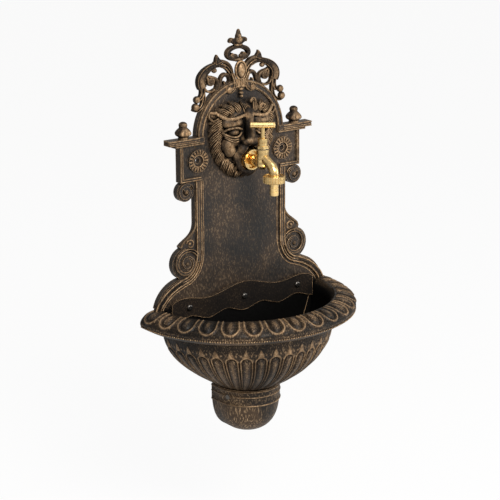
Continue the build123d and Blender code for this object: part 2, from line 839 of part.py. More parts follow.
def tap_body():
    shoulder = mouth_flange_back + mouth_flange_wall
    bulb_low = bulb_z - sqrt(bulb_r ** 2 - bulb_z ** 2)
    solid = rod(shank_r, shank_back, shoulder, 0, inlet_z)
    solid += rod(tap_shoulder_r, shoulder, shoulder + tap_shoulder_width, 0, inlet_z)
    solid += rod(tap_neck_r, shoulder, tap_out, 0, inlet_z)
    solid += ball(bulb_r, 0, tap_out, bulb_z) + ball(bulb_r, 0, tap_out, bulb_low + bulb_z)
    solid += post(body_barrel_r, bulb_z, body_top_z, 0, tap_out)
    solid += post(body_collar_r, body_top_z - body_collar_height, body_top_z, 0, tap_out)
    solid += tube(spout_path(spout_start_z), spout_r)
    solid += post(outlet_thread_r, outlet_end_z, outlet_top_z, 0, spout_out)
    solid -= tube(spout_path(spout_start_z), spout_bore_r)
    solid -= post(chamber_r, seat_z, body_top_z, 0, tap_out)
    solid -= post(seat_bore_r, seat_z - seat_depth, seat_z, 0, tap_out)
    return solid - rod(waterway_r, shank_back, tap_out, 0, inlet_z - waterway_drop)


def bonnet_washer():
    """Fibre ring between the tap body and the bonnet."""
    ring = Circle(body_barrel_r) - Circle(chamber_r + thread_gap)
    return Pos(0, -tap_out, body_top_z) * extrude(ring, amount=bonnet_seal)


def bonnet():
    start = body_top_z + bonnet_seal
    hexagon = Pos(0, -tap_out, start) * extrude(
        RegularPolygon(bonnet_hex / 2, 6, major_radius=False), amount=bonnet_hex_height)
    solid = hexagon + post(bonnet_barrel_r, start, bonnet_neck_z, 0, tap_out)
    solid += post(bonnet_neck_r, bonnet_neck_z, bonnet_top_z, 0, tap_out)
    solid += post(chamber_r - thread_gap, start - bonnet_skirt, start, 0, tap_out)
    solid -= post(spindle_thread_r + running_gap, start - bonnet_skirt,
                  spindle_thread_top_z + valve_lift + spindle_end_gap, 0, tap_out)
    solid -= post(spindle_r + running_gap, start, bonnet_top_z, 0, tap_out)
    return solid - post(packing_r + thread_gap, bonnet_top_z - packing_height, bonnet_top_z, 0, tap_out)


def gland_packing():
    ring = Circle(packing_r) - Circle(spindle_r + running_gap)
    return Pos(0, -tap_out, bonnet_top_z - packing_height) * extrude(ring, amount=packing_height)


def gland_nut():
    solid = post(gland_r, bonnet_top_z - gland_skirt, gland_top_z, 0, tap_out)
    solid -= post(bonnet_neck_r + thread_gap, bonnet_top_z - gland_skirt, bonnet_top_z, 0, tap_out)
    return solid - post(spindle_r + running_gap, bonnet_top_z, gland_top_z, 0, tap_out)


def spindle():
    """Rising spindle with a screw thread, drilled below for the stem of the jumper."""
    solid = post(spindle_thread_r, jumper_top_z, spindle_thread_top_z, 0, tap_out)
    solid += post(spindle_r, spindle_thread_top_z, bar_z + bar_seat, 0, tap_out)
    solid -= post(jumper_stem_r + running_gap, jumper_top_z,
                  jumper_top_z + jumper_stem_length + jumper_stem_gap, 0, tap_out)
    return solid - cross_pin(pin_r)


def bar_frame():
    """Frame of the handle at rest, with X along the bar."""
    return Pos(0, -tap_out, bar_z) * Rot(0, 0, bar_angle)


def cross_pin(radius):
    pin = extrude(Plane.XZ.offset(-bar_r) * Circle(radius), amount=2 * bar_r)
    return bar_frame() * pin


def handle_bar():
    """Cross bar of the T handle, bored from below for the spindle."""
    bar = extrude(Plane.YZ.offset(-bar_length / 2) * Circle(bar_r), amount=bar_length)
    bar = chamfer(bar.edges(), bar_round)
    solid = bar_frame() * bar
    solid -= post(spindle_r + thread_gap, bar_z - 2 * bar_r, bar_z + bar_seat, 0, tap_out)
    return solid - cross_pin(pin_r)


def handle_pin():
    return cross_pin(pin_r)


def jumper_valve():
    """Loose valve disc that rises and falls under the spindle, with a stem above and a stud below."""
    bottom = jumper_top_z - jumper_width
    solid = post(jumper_r, bottom, jumper_top_z, 0, tap_out)
    solid += post(jumper_stem_r, jumper_top_z, jumper_top_z + jumper_stem_length, 0, tap_out)
    return solid + post(valve_stud_r, seat_z - valve_nut_width, bottom, 0, tap_out)


def valve_washer():
    ring = Circle(valve_washer_r) - Circle(valve_stud_r + thread_gap)
    return Pos(0, -tap_out, seat_z) * extrude(ring, amount=valve_washer_width)


def valve_nut():
    ring = RegularPolygon(valve_nut_r, 6) - Circle(valve_stud_r + thread_gap)
    return Pos(0, -tap_out, seat_z - valve_nut_width) * extrude(ring, amount=valve_nut_width)


# Hose union

def union_nut():
    bottom = union_top_z - union_height
    solid = post(union_r, bottom, union_top_z, 0, spout_out)
    solid = chamfer(solid.edges(), union_flute_r)
    solid -= post(union_bore_r, union_lip_z, union_top_z, 0, spout_out)
    solid -= post(tail_r + tail_gap, bottom, union_lip_z, 0, spout_out)
    flutes = []
    for index in range(union_flutes):
        turn = 2 * pi * index / union_flutes
        flutes.append(post(union_flute_r, bottom, union_top_z, union_r * sin(turn),
                           spout_out + union_r * cos(turn)))
    return solid - flutes


def hose_tail():
    """Barbed tail for a garden hose, with a flange that the union nut draws up."""
    profile = [(tail_bore_r, tail_flange_z), (tail_flange_r, tail_flange_z),
               (tail_flange_r, union_lip_z), (tail_r, union_lip_z)]
    barb_top = union_top_z - union_height - tail_plain
    pitch = (barb_top - tail_bottom_z) / tail_barbs
    for index in range(tail_barbs):
        profile.append((tail_r, barb_top - index * pitch))
        profile.append((tail_r - tail_barb, barb_top - (index + 1) * pitch))
    profile.append((tail_bore_r, tail_bottom_z))
    return lathe(profile, spout_out)


def union_washer():
    ring = Circle(tail_flange_r) - Circle(tail_bore_r)
    return Pos(0, -spout_out, tail_flange_z) * extrude(ring, amount=outlet_end_z - tail_flange_z)


# Basin

def bowl_drop(z):
    return (bowl_top_z - z) / (bowl_top_z - bowl_foot_z)


def bowl_half(z):
    return bowl_foot_half + (bowl_top_half - bowl_foot_half) * (1 - bowl_drop(z) ** bowl_side_power)


def bowl_depth(z):
    return bowl_foot_depth + (bowl_top_depth - bowl_foot_depth) * (1 - bowl_drop(z) ** bowl_front_power)


def bowl_solid(bottom_z, inset, back):
    """Bowl form between a bottom height and the neck under the rim, drawn in by an inset."""
    sections = []
    for row in range(bowl_rows):
        z = bottom_z + (bowl_top_z - bottom_z) * sqrt(row / (bowl_rows - 1))
        sections.append(plan(bowl_half(z) - inset, bowl_depth(z) - inset, bowl_straight, z, back))
    return loft(sections)


def rim_plan(inset, z):
    return plan(rim_half - inset, rim_depth - inset, rim_straight, z)


def rim_solid():
    """Rim with an egg-round top, from the neck of the bowl out to the edge and in to the lip."""
    sections = [plan(bowl_top_half, bowl_top_depth, bowl_straight, bowl_top_z),
                rim_plan(rim_under, rim_edge_z - rim_under),
                rim_plan(rim_edge_inset, rim_edge_z - rim_edge_drop)]
    for row in range(rim_rows):
        turn = pi / 2 * row / (rim_rows - 1)
        sections.append(rim_plan(rim_lip * (1 - cos(turn)), rim_edge_z + rim_rise * sin(turn)))
    return loft(sections, ruled=True)


def rim_hollow(back):
    """Flared mouth inside the rim, above the bowl's hollow."""
    top = rim_edge_z + rim_rise
    half = rim_half - rim_lip - rim_lip_wall
    depth = rim_depth - rim_lip - rim_lip_wall
    neck_half = bowl_top_half - bowl_wall
    neck_depth = bowl_top_depth - bowl_wall
    sections = [plan(neck_half, neck_depth, bowl_straight, bowl_top_z, back),
                plan(neck_half, neck_depth, bowl_straight, top - rim_rise / 2, back),
                plan(half, depth, bowl_straight, top, back)]
    return loft(sections, ruled=True)


def swelling(edge, above, share, half, height):
    """Ball that swells out of the surface between two edges: its centre as X, out and Z, and its radius."""
    spot = edge @ share
    way = (edge % share).cross((above @ share) - spot).normalized()
    radius = (half ** 2 + height ** 2) / (2 * height)
    centre = spot - way * (radius - height)
    return (centre.X, -centre.Y, centre.Z), radius


def rim_edge(turn):
    """Edge of the rim's round top, turned in from its outer edge by an angle."""
    angle = radians(turn)
    inset = rim_lip * (1 - cos(angle))
    edges = half_round(rim_half - inset, rim_depth - inset, rim_straight)
    return Pos(0, 0, rim_edge_z + rim_rise * sin(angle)) * Wire(edges)


def rim_eggs():
    """Eggs that stand on the rim, each a limb from the outer edge towards the lip."""
    edges = [(rim_edge(turn), rim_edge(turn + surface_step)) for turn in (egg_outer_turn, egg_inner_turn)]
    eggs = []
    for index in range(egg_count):
        share = (index + 0.5) / egg_count
        outer, inner = [swelling(edge, above, share, egg_half, egg_height) for edge, above in edges]
        eggs.append(limb(*outer, *inner))
    return eggs


def bowl_edge(z):
    return Pos(0, 0, z) * Wire(half_round(bowl_half(z), bowl_depth(z), bowl_straight))


def bowl_gadroons():
    """Gadroons down the bowl, narrower and lower towards its foot."""
    first_z = bowl_top_z - gadroon_top_drop
    last_z = bowl_foot_z + gadroon_foot_rise
    edges = []
    for row in range(gadroon_rows):
        z = first_z + (last_z - first_z) * row / (gadroon_rows - 1)
        edges.append((bowl_edge(z), bowl_edge(z + surface_step)))
    widest = edges[0][0].length
    gadroons = []
    for index in range(gadroon_count):
        share = (index + 0.5) / gadroon_count
        balls = []
        for edge, above in edges:
            half = gadroon_share * edge.length / gadroon_count / 2
            balls.append(swelling(edge, above, share, half, gadroon_height * edge.length / widest))
        gadroons += [limb(*upper, *lower) for upper, lower in zip(balls, balls[1:])]
    return gadroons


def wave_points(shift, half):
    """Points of the wavy edge from its left end to its right end."""
    side = [(half, wave_end_z + shift), (wave_side_x, wave_side_z + shift),
            (wave_dip_x, wave_dip_z + shift)]
    return [(-x, z) for x, z in side] + [(0, wave_crest_z + shift)] + side[::-1]


def web_outline():
    """Upper part of the basin's back wall, with a wavy top edge."""
    top = Spline(*wave_points(-web_below_strip, web_half))
    low_z = rim_edge_z + rim_rise / 2
    return shape(top, Line(top @ 1, (web_half, low_z)), Line((web_half, low_z), (-web_half, low_z)),
                 Line((-web_half, low_z), top @ 0))


def spigot():
    """Collar under the bowl that carries the pendant cup. It is open towards the wall."""
    draw = cup_draw((bowl_foot_z - spigot_bottom_z) / (bowl_foot_z - cup_bottom_z - cup_wall))
    half = (cup_half - cup_wall) * draw - cup_gap
    depth = bowl_straight + (cup_depth - bowl_straight - cup_wall) * draw - cup_gap
    outer = plan(half, depth, bowl_straight, spigot_bottom_z)
    inner = plan(half - spigot_wall, depth - spigot_wall, bowl_straight, spigot_bottom_z, bowl_straight)
    return extrude(outer - inner, amount=spigot_height)


def cup_screw_place():
    """Frame at the middle of the cup's round, with X pointing out through a screw on the right."""
    return Pos(0, -bowl_straight, cup_screw_z) * Rot(0, 0, -cup_screw_angle)


def cup_screw_reach():
    """Distance from that frame to the outside of the cup along the screw."""
    turn = radians(cup_screw_angle)
    return 1 / sqrt((cos(turn) / cup_half) ** 2 + (sin(turn) / (cup_depth - bowl_straight)) ** 2)


def cup_screw_rod(radius, start, end):
    """Cylinder along the right-hand screw, placed by its distances from the outside of the cup."""
    reach = cup_screw_reach()
    rod_shape = extrude(Plane.YZ.offset(reach + start) * Circle(radius), amount=end - start)
    return cup_screw_place() * rod_shape


def cup_screw_holes(radius):
    hole = cup_screw_rod(radius, -cup_wall - cup_screw_grip - cup_screw_spare, cup_wall)
    return [hole, mirror(hole, about=Plane.YZ)]


def basin():
    hollow = bowl_solid(floor_z, bowl_wall, bowl_straight) + rim_hollow(bowl_straight)
    shell = bowl_solid(bowl_foot_z, 0, 0) + rim_solid() + rim_eggs() + bowl_gadroons()
    web_slab = front(box_outline(-rim_half, rim_half, bowl_foot_z, rim_edge_z + rim_rise),
                     plate_depth, web_out)
    solid = shell - (hollow - web_slab)
    solid += front(web_outline(), plate_depth, web_out)
    solid += spigot()
    solid -= post(drain_tube_r + drain_hole_gap, spigot_bottom_z, floor_z, 0, drain_out)
    for x in (-bolt_x, 0, bolt_x):
        solid -= rod(bolt_r + bolt_clearance, 0, strip_out, x, bolt_z)
    return solid - cup_screw_holes(screw_r + thread_gap)


def clamp_strip():
    """Wavy strip that clamps the back wall of the basin to the plate."""
    top = Spline(*wave_points(0, strip_half))
    low_z = wave_dip_z - strip_height + strip_lower_wave
    low_points = []
    for index in range(4 * strip_lower_waves + 1):
        x = strip_half * (1 - index / (2 * strip_lower_waves))
        swing = cos(pi * strip_lower_waves * x / strip_half)
        low_points.append((x, low_z - strip_lower_wave * swing))
    low = Spline(*low_points)
    strip = front(shape(top, Line(top @ 1, low @ 0), low, Line(low @ 1, top @ 0)), web_out, strip_out)
    for x in (-bolt_x, 0, bolt_x):
        strip -= rod(bolt_r + bolt_clearance, web_out, strip_out, x, bolt_z)
    return strip


def basin_bolts():
    bolts = []
    for x in (-bolt_x, 0, bolt_x):
        head = rod(bolt_head_r, strip_out, strip_out + bolt_head_height, x, bolt_z)
        head = fillet(head.edges().group_by(Axis.Y)[0], bolt_head_round)
        bolts.append(head + rod(bolt_r, bolt_end_out, strip_out, x, bolt_z))
    return bolts


def bolt_washers():
    ring = Circle(washer_r) - Circle(bolt_r + thread_gap)
    return [front(Pos(x, bolt_z) * ring, pocket_out - washer_width, pocket_out)
            for x in (-bolt_x, 0, bolt_x)]


def bolt_nuts():
    ring = RegularPolygon(nut_flats / 2, 6, major_radius=False) - Circle(bolt_r + thread_gap)
    end = pocket_out - washer_width
    return [front(Pos(x, bolt_z) * ring, end - nut_width, end) for x in (-bolt_x, 0, bolt_x)]


# Drain

def drain_body():
    """Brass drain: a flange on the basin floor, a threaded tube through it and a hose end below."""
    solid = post(drain_flange_r, drain_flange_z, strainer_z, 0, drain_out)
    solid += post(drain_tube_r, drain_tube_end_z, drain_flange_z, 0, drain_out)
    solid -= post(drain_tube_bore_r, drain_tube_end_z, strainer_z, 0, drain_out)
    solid -= post(strainer_r + thread_gap, strainer_z - strainer_width, strainer_z, 0, drain_out)
    bridge_top = strainer_z - strainer_width
    bridge = Box(2 * (drain_tube_bore_r + strainer_bridge_bite), strainer_bridge, strainer_bridge_height,
                 align=(Align.CENTER, Align.CENTER, Align.MAX))
    solid += Pos(0, -drain_out, bridge_top) * bridge
    return solid - post(strainer_screw_r + thread_gap, bridge_top - strainer_bridge_height, bridge_top,
                        0, drain_out)


def drain_strainer():
    disc = Circle(strainer_r) - Circle(strainer_screw_r + thread_gap)
    disc -= PolarLocations(strainer_hole_pitch, strainer_holes) * Circle(strainer_hole_r)
    return Pos(0, -drain_out, strainer_z - strainer_width) * extrude(disc, amount=strainer_width)


def strainer_screw():
    shank = post(strainer_screw_r, strainer_z - strainer_screw_length, strainer_z, 0, drain_out)
    return shank + post(strainer_screw_head_r, strainer_z, strainer_z + strainer_screw_head, 0, drain_out)


def drain_seal():
    ring = Circle(drain_flange_r) - Circle(drain_tube_r + thread_gap)
    return Pos(0, -drain_out, floor_z) * extrude(ring, amount=drain_seal_width)


def drain_nut():
    ring = RegularPolygon(drain_nut_r, 6) - Circle(drain_tube_r + thread_gap)
    return Pos(0, -drain_out, bowl_foot_z - drain_nut_width) * extrude(ring, amount=drain_nut_width)


# Pendant cup

def cup_draw(drop):
    """How far the cup's plan has drawn in, at a share of the way down to its bottom."""
    return (1 - drop ** cup_side_power) ** (1 / cup_round_power)


def cup_solid(inset, bottom_z, back):
    """Cup form from the bowl's foot down to a rounded bottom, drawn in by an inset."""
    height = bowl_foot_z - bottom_z
    sections = []
    for row in range(cup_rows):
        drop = cup_close * sin(pi / 2 * row / (cup_rows - 1))
        draw = cup_draw(drop)
        half = (cup_half - inset) * draw
        depth = bowl_straight + (cup_depth - bowl_straight - inset) * draw
        sections.append(plan(half, depth, bowl_straight, bowl_foot_z - height * drop / cup_close, back))
    return loft(sections)


def drain_cup():
    solid = cup_solid(0, cup_bottom_z, 0) - cup_solid(cup_wall, cup_bottom_z + cup_wall, bowl_straight)
    seat = cup_screw_rod(screw_head_r + screw_clearance, -cup_screw_seat, cup_wall)
    solid -= [seat, mirror(seat, about=Plane.YZ)]
    return solid - cup_screw_holes(screw_r + screw_clearance)


def cup_screws():
    shank = cup_screw_rod(screw_r, -cup_wall - cup_screw_grip, -cup_screw_seat)
    head = cup_screw_rod(screw_head_r, -cup_screw_seat, screw_head_height - cup_screw_seat)
    screw = shank + head
    return [screw, mirror(screw, about=Plane.YZ)]


def save(name, piece):
    """Writes one node. A list is a group of separate solids."""
    if isinstance(piece, list):
        solids = [solid for item in piece for solid in item.solids()]
    else:
        solids = piece.solids()
    shape_out = solids[0] if len(solids) == 1 else Compound(children=solids)
    export_step(shape_out, f"parts/{name}.step")


os.makedirs("parts", exist_ok=True)
nodes = {
    "back_plate": back_plate(),
    "finial_left": finial(-1),
    "finial_right": finial(1),
    "crest": crest(),
    "crest_screws": crest_screws(),
    "lion_mask": lion_mask(),
    "mask_screws": mask_screws(),
    "inlet_socket": inlet_socket(),
    "socket_seal": socket_seal(),
    "socket_nut": socket_nut(),
    "mouth_flange": mouth_flange(),
    "tap_body": tap_body(),
    "bonnet_washer": bonnet_washer(),
    "bonnet": bonnet(),
    "gland_packing": gland_packing(),
    "gland_nut": gland_nut(),
    "spindle": spindle(),
    "handle_bar": handle_bar(),
    "handle_pin": handle_pin(),
    "jumper_valve": jumper_valve(),
    "valve_washer": valve_washer(),
    "valve_nut": valve_nut(),
    "union_nut": union_nut(),
    "hose_tail": hose_tail(),
    "union_washer": union_washer(),
    "basin": basin(),
    "clamp_strip": clamp_strip(),
    "basin_bolts": basin_bolts(),
    "bolt_washers": bolt_washers(),
    "bolt_nuts": bolt_nuts(),
    "drain_body": drain_body(),
    "drain_strainer": drain_strainer(),
    "strainer_screw": strainer_screw(),
    "drain_seal": drain_seal(),
    "drain_nut": drain_nut(),
    "drain_cup": drain_cup(),
    "cup_screws": cup_screws(),
}
for node_name, node_piece in nodes.items():
    save(node_name, node_piece)
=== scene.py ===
# %% [markdown]
# # Bronze wall fountain
# The CAD model is the fixed frame of this scene: its solids give every size, and Blender adds the cast
# ornament, the paint and the light. A scene could also be modelled freely and fitted to the photograph
# afterwards, but then nothing would line up with the joints. So the frame is loaded first.

# %% Load the frame
import json
from math import atan2, cos, exp, pi, radians, sin

import bmesh
import bpy
import numpy as np
from mathutils import Matrix, Vector


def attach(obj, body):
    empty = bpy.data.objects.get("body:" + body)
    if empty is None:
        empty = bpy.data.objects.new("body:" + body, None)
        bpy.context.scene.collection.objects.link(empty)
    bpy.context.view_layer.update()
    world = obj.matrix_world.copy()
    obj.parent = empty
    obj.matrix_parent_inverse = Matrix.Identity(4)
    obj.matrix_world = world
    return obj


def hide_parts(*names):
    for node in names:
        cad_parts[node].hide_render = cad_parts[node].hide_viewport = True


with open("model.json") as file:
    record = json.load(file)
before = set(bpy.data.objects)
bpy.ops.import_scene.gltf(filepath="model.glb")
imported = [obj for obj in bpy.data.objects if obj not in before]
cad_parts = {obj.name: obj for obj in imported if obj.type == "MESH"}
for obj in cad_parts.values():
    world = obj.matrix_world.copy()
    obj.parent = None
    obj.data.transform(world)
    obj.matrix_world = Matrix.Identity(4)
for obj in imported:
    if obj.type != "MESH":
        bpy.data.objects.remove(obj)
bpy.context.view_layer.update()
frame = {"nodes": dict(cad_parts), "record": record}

MM = 0.001
nodes = frame["nodes"]
scene = bpy.context.scene

# %% [markdown]
# ## Camera
# The photograph was taken from the left front, a little above the basin. A camera could be placed by eye, but
# three printed lengths on the picture allow a real fit: it gives a distance of about 2.7 m and a long lens. The
# camera's own axes are written as the columns of its matrix.

# %% Camera at the photograph's place
CAMERA_PLACE = Vector((-1514.34, -2121.42, 574.46)) * MM
CAMERA_RIGHT = Vector((0.80857, -0.58837, -0.00601))
CAMERA_FORWARD = Vector((0.56562, 0.78004, -0.26762))
LENS = 129.61
SENSOR = 36.0
FAR_CLIP = 50.0


def placed(name, data):
    """A new object in the scene."""
    made = bpy.data.objects.new(name, data)
    scene.collection.objects.link(made)
    return made


camera_data = bpy.data.cameras.new("photo_camera")
camera_data.lens = LENS
camera_data.sensor_width = SENSOR
camera_data.clip_end = FAR_CLIP
scene.camera = placed("photo_camera", camera_data)
back = -CAMERA_FORWARD.normalized()
right = (CAMERA_RIGHT - back * CAMERA_RIGHT.dot(back)).normalized()
turn = Matrix((right, back.cross(right), back)).transposed().to_4x4()
scene.camera.matrix_world = Matrix.Translation(CAMERA_PLACE) @ turn
scene.view_settings.view_transform = "Standard"
print("camera looks along", [round(v, 3) for v in -back])

# %% [markdown]
# ## Shader nodes
# Light, floor and finishes are all made of shader nodes. They could be drawn in the editor, but then the script
# would not show how they are made. A few short functions add nodes, set or link their inputs, and pass the results on.

# %% Node helpers
def feed(tree, socket, value):
    """Links an input to another node's socket, or sets it to a plain value."""
    if isinstance(value, bpy.types.NodeSocket):
        tree.links.new(value, socket)
    else:
        socket.default_value = value


def add_node(tree, kind, **values):
    """A shader node of a kind. Each value is one of its settings or one of its inputs."""
    node = tree.nodes.new("ShaderNode" + kind)
    for name, value in values.items():
        if hasattr(node, name):
            setattr(node, name, value)
        else:
            feed(tree, node.inputs[name.replace("_", " ")], value)
    return node


def feed_all(tree, node, *values):
    """Feeds a node's inputs in their order, and gives its first result."""
    for socket, value in zip(node.inputs, values):
        feed(tree, socket, value)
    return node.outputs[0]


def math_node(tree, operation, *values, clamp=False):
    return feed_all(tree, add_node(tree, "Math", operation=operation, use_clamp=clamp), *values)


def shader_mix(tree, factor, first, second):
    return feed_all(tree, add_node(tree, "MixShader"), factor, first.outputs[0], second.outputs[0])


def colour_mix(tree, factor, first, second):
    node = add_node(tree, "Mix", data_type="RGBA", Factor=factor)
    for socket, value in zip([s for s in node.inputs if s.type == "RGBA"], (first, second)):
        feed(tree, socket, value)
    return [s for s in node.outputs if s.type == "RGBA"][0]


def ramp_between(tree, value, low, high):
    """0 below low, 1 above high and a soft step between."""
    node = add_node(tree, "MapRange", interpolation_type="SMOOTHSTEP", Value=value, From_Min=low, From_Max=high)
    return node.outputs["Result"]


def noise_value(tree, scale, detail=2.0, rough=0.5, stretch=(1, 1, 1)):
    """Noise on the object's own coordinates, in metres."""
    place = add_node(tree, "TexCoord").outputs["Object"]
    mapping = add_node(tree, "Mapping", Vector=place, Scale=stretch)
    node = add_node(tree, "TexNoise", Vector=mapping.outputs[0], Scale=scale, Detail=detail, Roughness=rough)
    return node.outputs["Fac"]


def new_paint(name):
    """A material and its node tree."""
    paint = bpy.data.materials.new(name)
    paint.use_nodes = True
    return paint, paint.node_tree


print("node helpers ready")

# %% [markdown]
# ## Studio
# A catalogue picture has a white ground and broad soft light. The white could come from overlit walls, but that
# would wash out the paint, so the world is white only to the camera, and lights the object at a low grey level.
# Polished brass then mirrors a grey room with bright lamps in it, which gives it depth. Three large area lamps
# give the form: one high in front, one from the right, one above. The floor is pale and nearly as white.

# %% World and lamps
ROOM_COLOUR = (0.87, 0.84, 0.80, 1)
ROOM_LIGHT = 0.20
ROOM_MIRRORED = 0.62
AIM = (0, -0.05, -0.1)
LAMPS = [("key", (-0.55, -2.3, 1.7), AIM, 0.9, 100, (1.0, 0.97, 0.93)),
         ("fill", (1.9, -1.6, 0.4), AIM, 1.4, 20, (0.94, 0.97, 1.0)),
         ("top", (0.2, -0.5, 1.9), (0, -0.05, 0.0), 1.1, 9, (1, 1, 1))]


def seen_directly(tree):
    """1 for rays that reach the camera, 0 for the rays that light or mirror."""
    return add_node(tree, "LightPath").outputs["Is Camera Ray"]


scene.world = bpy.data.worlds.new("studio")
scene.world.use_nodes = True
tree = scene.world.node_tree
tree.nodes.clear()
mirror_ray = add_node(tree, "LightPath").outputs["Is Glossy Ray"]
level = math_node(tree, "MULTIPLY_ADD", mirror_ray, ROOM_MIRRORED - ROOM_LIGHT, ROOM_LIGHT)
room = add_node(tree, "Background", Color=ROOM_COLOUR, Strength=level)
white = add_node(tree, "Background", Color=(1, 1, 1, 1), Strength=1.0)
add_node(tree, "OutputWorld", Surface=shader_mix(tree, seen_directly(tree), room, white))

for name, place, aim, size, power, colour in LAMPS:
    lamp = bpy.data.lights.new(name, "AREA")
    lamp.shape = "SQUARE"
    lamp.size = size
    lamp.energy = power
    lamp.color = colour
    turn = (Vector(aim) - Vector(place)).to_track_quat("-Z", "Y").to_matrix().to_4x4()
    placed(name, lamp).matrix_world = Matrix.Translation(place) @ turn
print("lamps", [row[0] for row in LAMPS])

# %% Pale floor
FLOOR_Z = -0.62
FLOOR_HALF = 12.0
FLOOR_GREY = (0.86, 0.86, 0.86, 1)
FLOOR_GLOW = 0.94


def mesh_of(bm, name):
    """Mesh of a bmesh, which is freed."""
    mesh = bpy.data.meshes.new(name)
    bm.to_mesh(mesh)
    bm.free()
    return mesh


floor_mesh = bmesh.new()
bmesh.ops.create_grid(floor_mesh, x_segments=1, y_segments=1, size=FLOOR_HALF)
bmesh.ops.translate(floor_mesh, vec=(0, 0, FLOOR_Z), verts=floor_mesh.verts)
floor = placed("floor", mesh_of(floor_mesh, "floor"))
floor_paint, tree = new_paint("pale_floor")
tree.nodes.clear()
matt = add_node(tree, "BsdfDiffuse", Color=FLOOR_GREY)
glow = add_node(tree, "Emission")
share = math_node(tree, "MULTIPLY", seen_directly(tree), FLOOR_GLOW)
add_node(tree, "OutputMaterial", Surface=shader_mix(tree, share, matt, glow))
floor.data.materials.append(floor_paint)
print("floor at", FLOOR_Z)

# %% [markdown]
# ## Antique bronze paint
# The castings are sprayed nearly black and then rubbed with tan bronze powder, which stays on raised edges and as
# speckle on the rough cast skin. It could be painted by hand on a texture, but it follows the shape, so it is made
# from the shape: pieces modelled here carry an attribute of rub and painted shade, worked out from how sharply the
# mesh bends outwards, and CAD nodes find their edges with a Bevel node. Noise breaks both up. On the modelled pieces,
# hollows found by an Ambient Occlusion node, and places where the attribute is below zero, get painted shade: they
# go to near-black, with less sheen and speckle.

# %% Bronze paint
# painted shade: the near-black that hollows and places with the attribute below zero are darkened to
PAINTED_SHADE_BLACK = (0.0012, 0.0011, 0.0010, 1)
BLACK = (0.0075, 0.0065, 0.006, 1)
UMBER = (0.050, 0.031, 0.018, 1)
TAN = (0.34, 0.20, 0.10, 1)
PALE_TAN = (0.62, 0.43, 0.25, 1)
PATCH, COARSE, FINE = 17, 190, 560
SPECKLE_GRAIN = (1, 1, 0.6)
# reach of the Ambient Occlusion that finds hollows for painted shade
SHADE_REACH = 0.005
CORNER_REACH = 0.004
BEVEL_REACH = 0.0016
METAL_SHARE = 0.4


def dress(tree, **values):
    """Feeds the inputs of a paint's shader."""
    for name, value in values.items():
        feed(tree, tree.nodes["Principled BSDF"].inputs[name.replace("_", " ")], value)


def open_air(tree, reach, low, high):
    """1 where nothing of the same piece stands close by, 0 in hollows."""
    node = add_node(tree, "AmbientOcclusion", samples=4, only_local=True, Distance=reach)
    return ramp_between(tree, node.outputs["AO"], low, high)


def bumpy(tree, height, strength, depth):
    return add_node(tree, "Bump", Strength=strength, Distance=depth, Height=height).outputs[0]


def bronze_paint(name, edges, speckle, brown, grain, sheen, stretch=SPECKLE_GRAIN):
    """edges names the mesh attribute of rub and painted shade, or is "bevel" for CAD nodes. speckle, brown and sheen
    go from 0 to 1, grain is the depth of the rough cast skin in metres, and stretch draws its pattern out. With the
    attribute, places where it is below zero and hollows found by Ambient Occlusion get painted shade: the skin goes to
    near-black there, with less sheen and speckle."""
    paint, tree = new_paint(name)
    patch = noise_value(tree, PATCH, 3)
    fine = noise_value(tree, FINE, 2, 0.6, stretch)
    coarse = noise_value(tree, COARSE, 3, 0.6, stretch)
    brown_patch = math_node(tree, "MULTIPLY", ramp_between(tree, patch, 0.3, 0.7), brown)
    ground = colour_mix(tree, brown_patch, BLACK, UMBER)
    if edges == "rub_and_shade":
        mark = add_node(tree, "Attribute", attribute_name="rub_and_shade").outputs["Fac"]
        # painted shade: hollows found by Ambient Occlusion get no powder or speckle and less sheen, and go to
        # near-black, as do places where the attribute is below zero
        raised = open_air(tree, SHADE_REACH, 0.42, 0.90)
        edge = math_node(tree, "MULTIPLY", math_node(tree, "MAXIMUM", mark, 0.0), raised)
        unshaded = math_node(tree, "MULTIPLY", math_node(tree, "ADD", mark, 1.0, clamp=True), raised)
        speckle = math_node(tree, "MULTIPLY", unshaded, speckle)
        sheen = math_node(tree, "MULTIPLY", raised, sheen)
        ground = colour_mix(tree, unshaded, PAINTED_SHADE_BLACK, ground)
    else:
        bent = add_node(tree, "Bevel", samples=4, Radius=BEVEL_REACH).outputs[0]
        flat = add_node(tree, "NewGeometry").outputs["Normal"]
        dot = add_node(tree, "VectorMath", operation="DOT_PRODUCT")
        feed_all(tree, dot, bent, flat)
        bend = ramp_between(tree, math_node(tree, "SUBTRACT", 1.0, dot.outputs["Value"]), 0.02, 0.16)
        edge = math_node(tree, "MULTIPLY", bend, open_air(tree, CORNER_REACH, 0.62, 0.9))
    uneven = math_node(tree, "MULTIPLY_ADD", ramp_between(tree, coarse, 0.36, 0.60), 0.58, 0.42)
    cover = math_node(tree, "MULTIPLY_ADD", ramp_between(tree, patch, 0.36, 0.62), 0.30, 0.70)
    worn = math_node(tree, "MULTIPLY", edge, math_node(tree, "MULTIPLY", uneven, cover))
    dots = math_node(tree, "MULTIPLY", ramp_between(tree, fine, 0.50, 0.70), speckle)
    spread = math_node(tree, "MULTIPLY_ADD", ramp_between(tree, patch, 0.34, 0.64), 0.7, 0.3)
    rubbed = math_node(tree, "MAXIMUM", worn, math_node(tree, "MULTIPLY", dots, spread), clamp=True)
    bronze = colour_mix(tree, ramp_between(tree, fine, 0.35, 0.7), TAN, PALE_TAN)
    relief = math_node(tree, "MULTIPLY_ADD", fine, 0.6, coarse)
    dress(tree, Specular_IOR_Level=sheen, Base_Color=colour_mix(tree, rubbed, ground, bronze),
          Metallic=math_node(tree, "MULTIPLY", rubbed, METAL_SHARE),
          Roughness=math_node(tree, "MULTIPLY_ADD", fine, 0.22, 0.36), Normal=bumpy(tree, relief, 0.7, grain))
    return paint


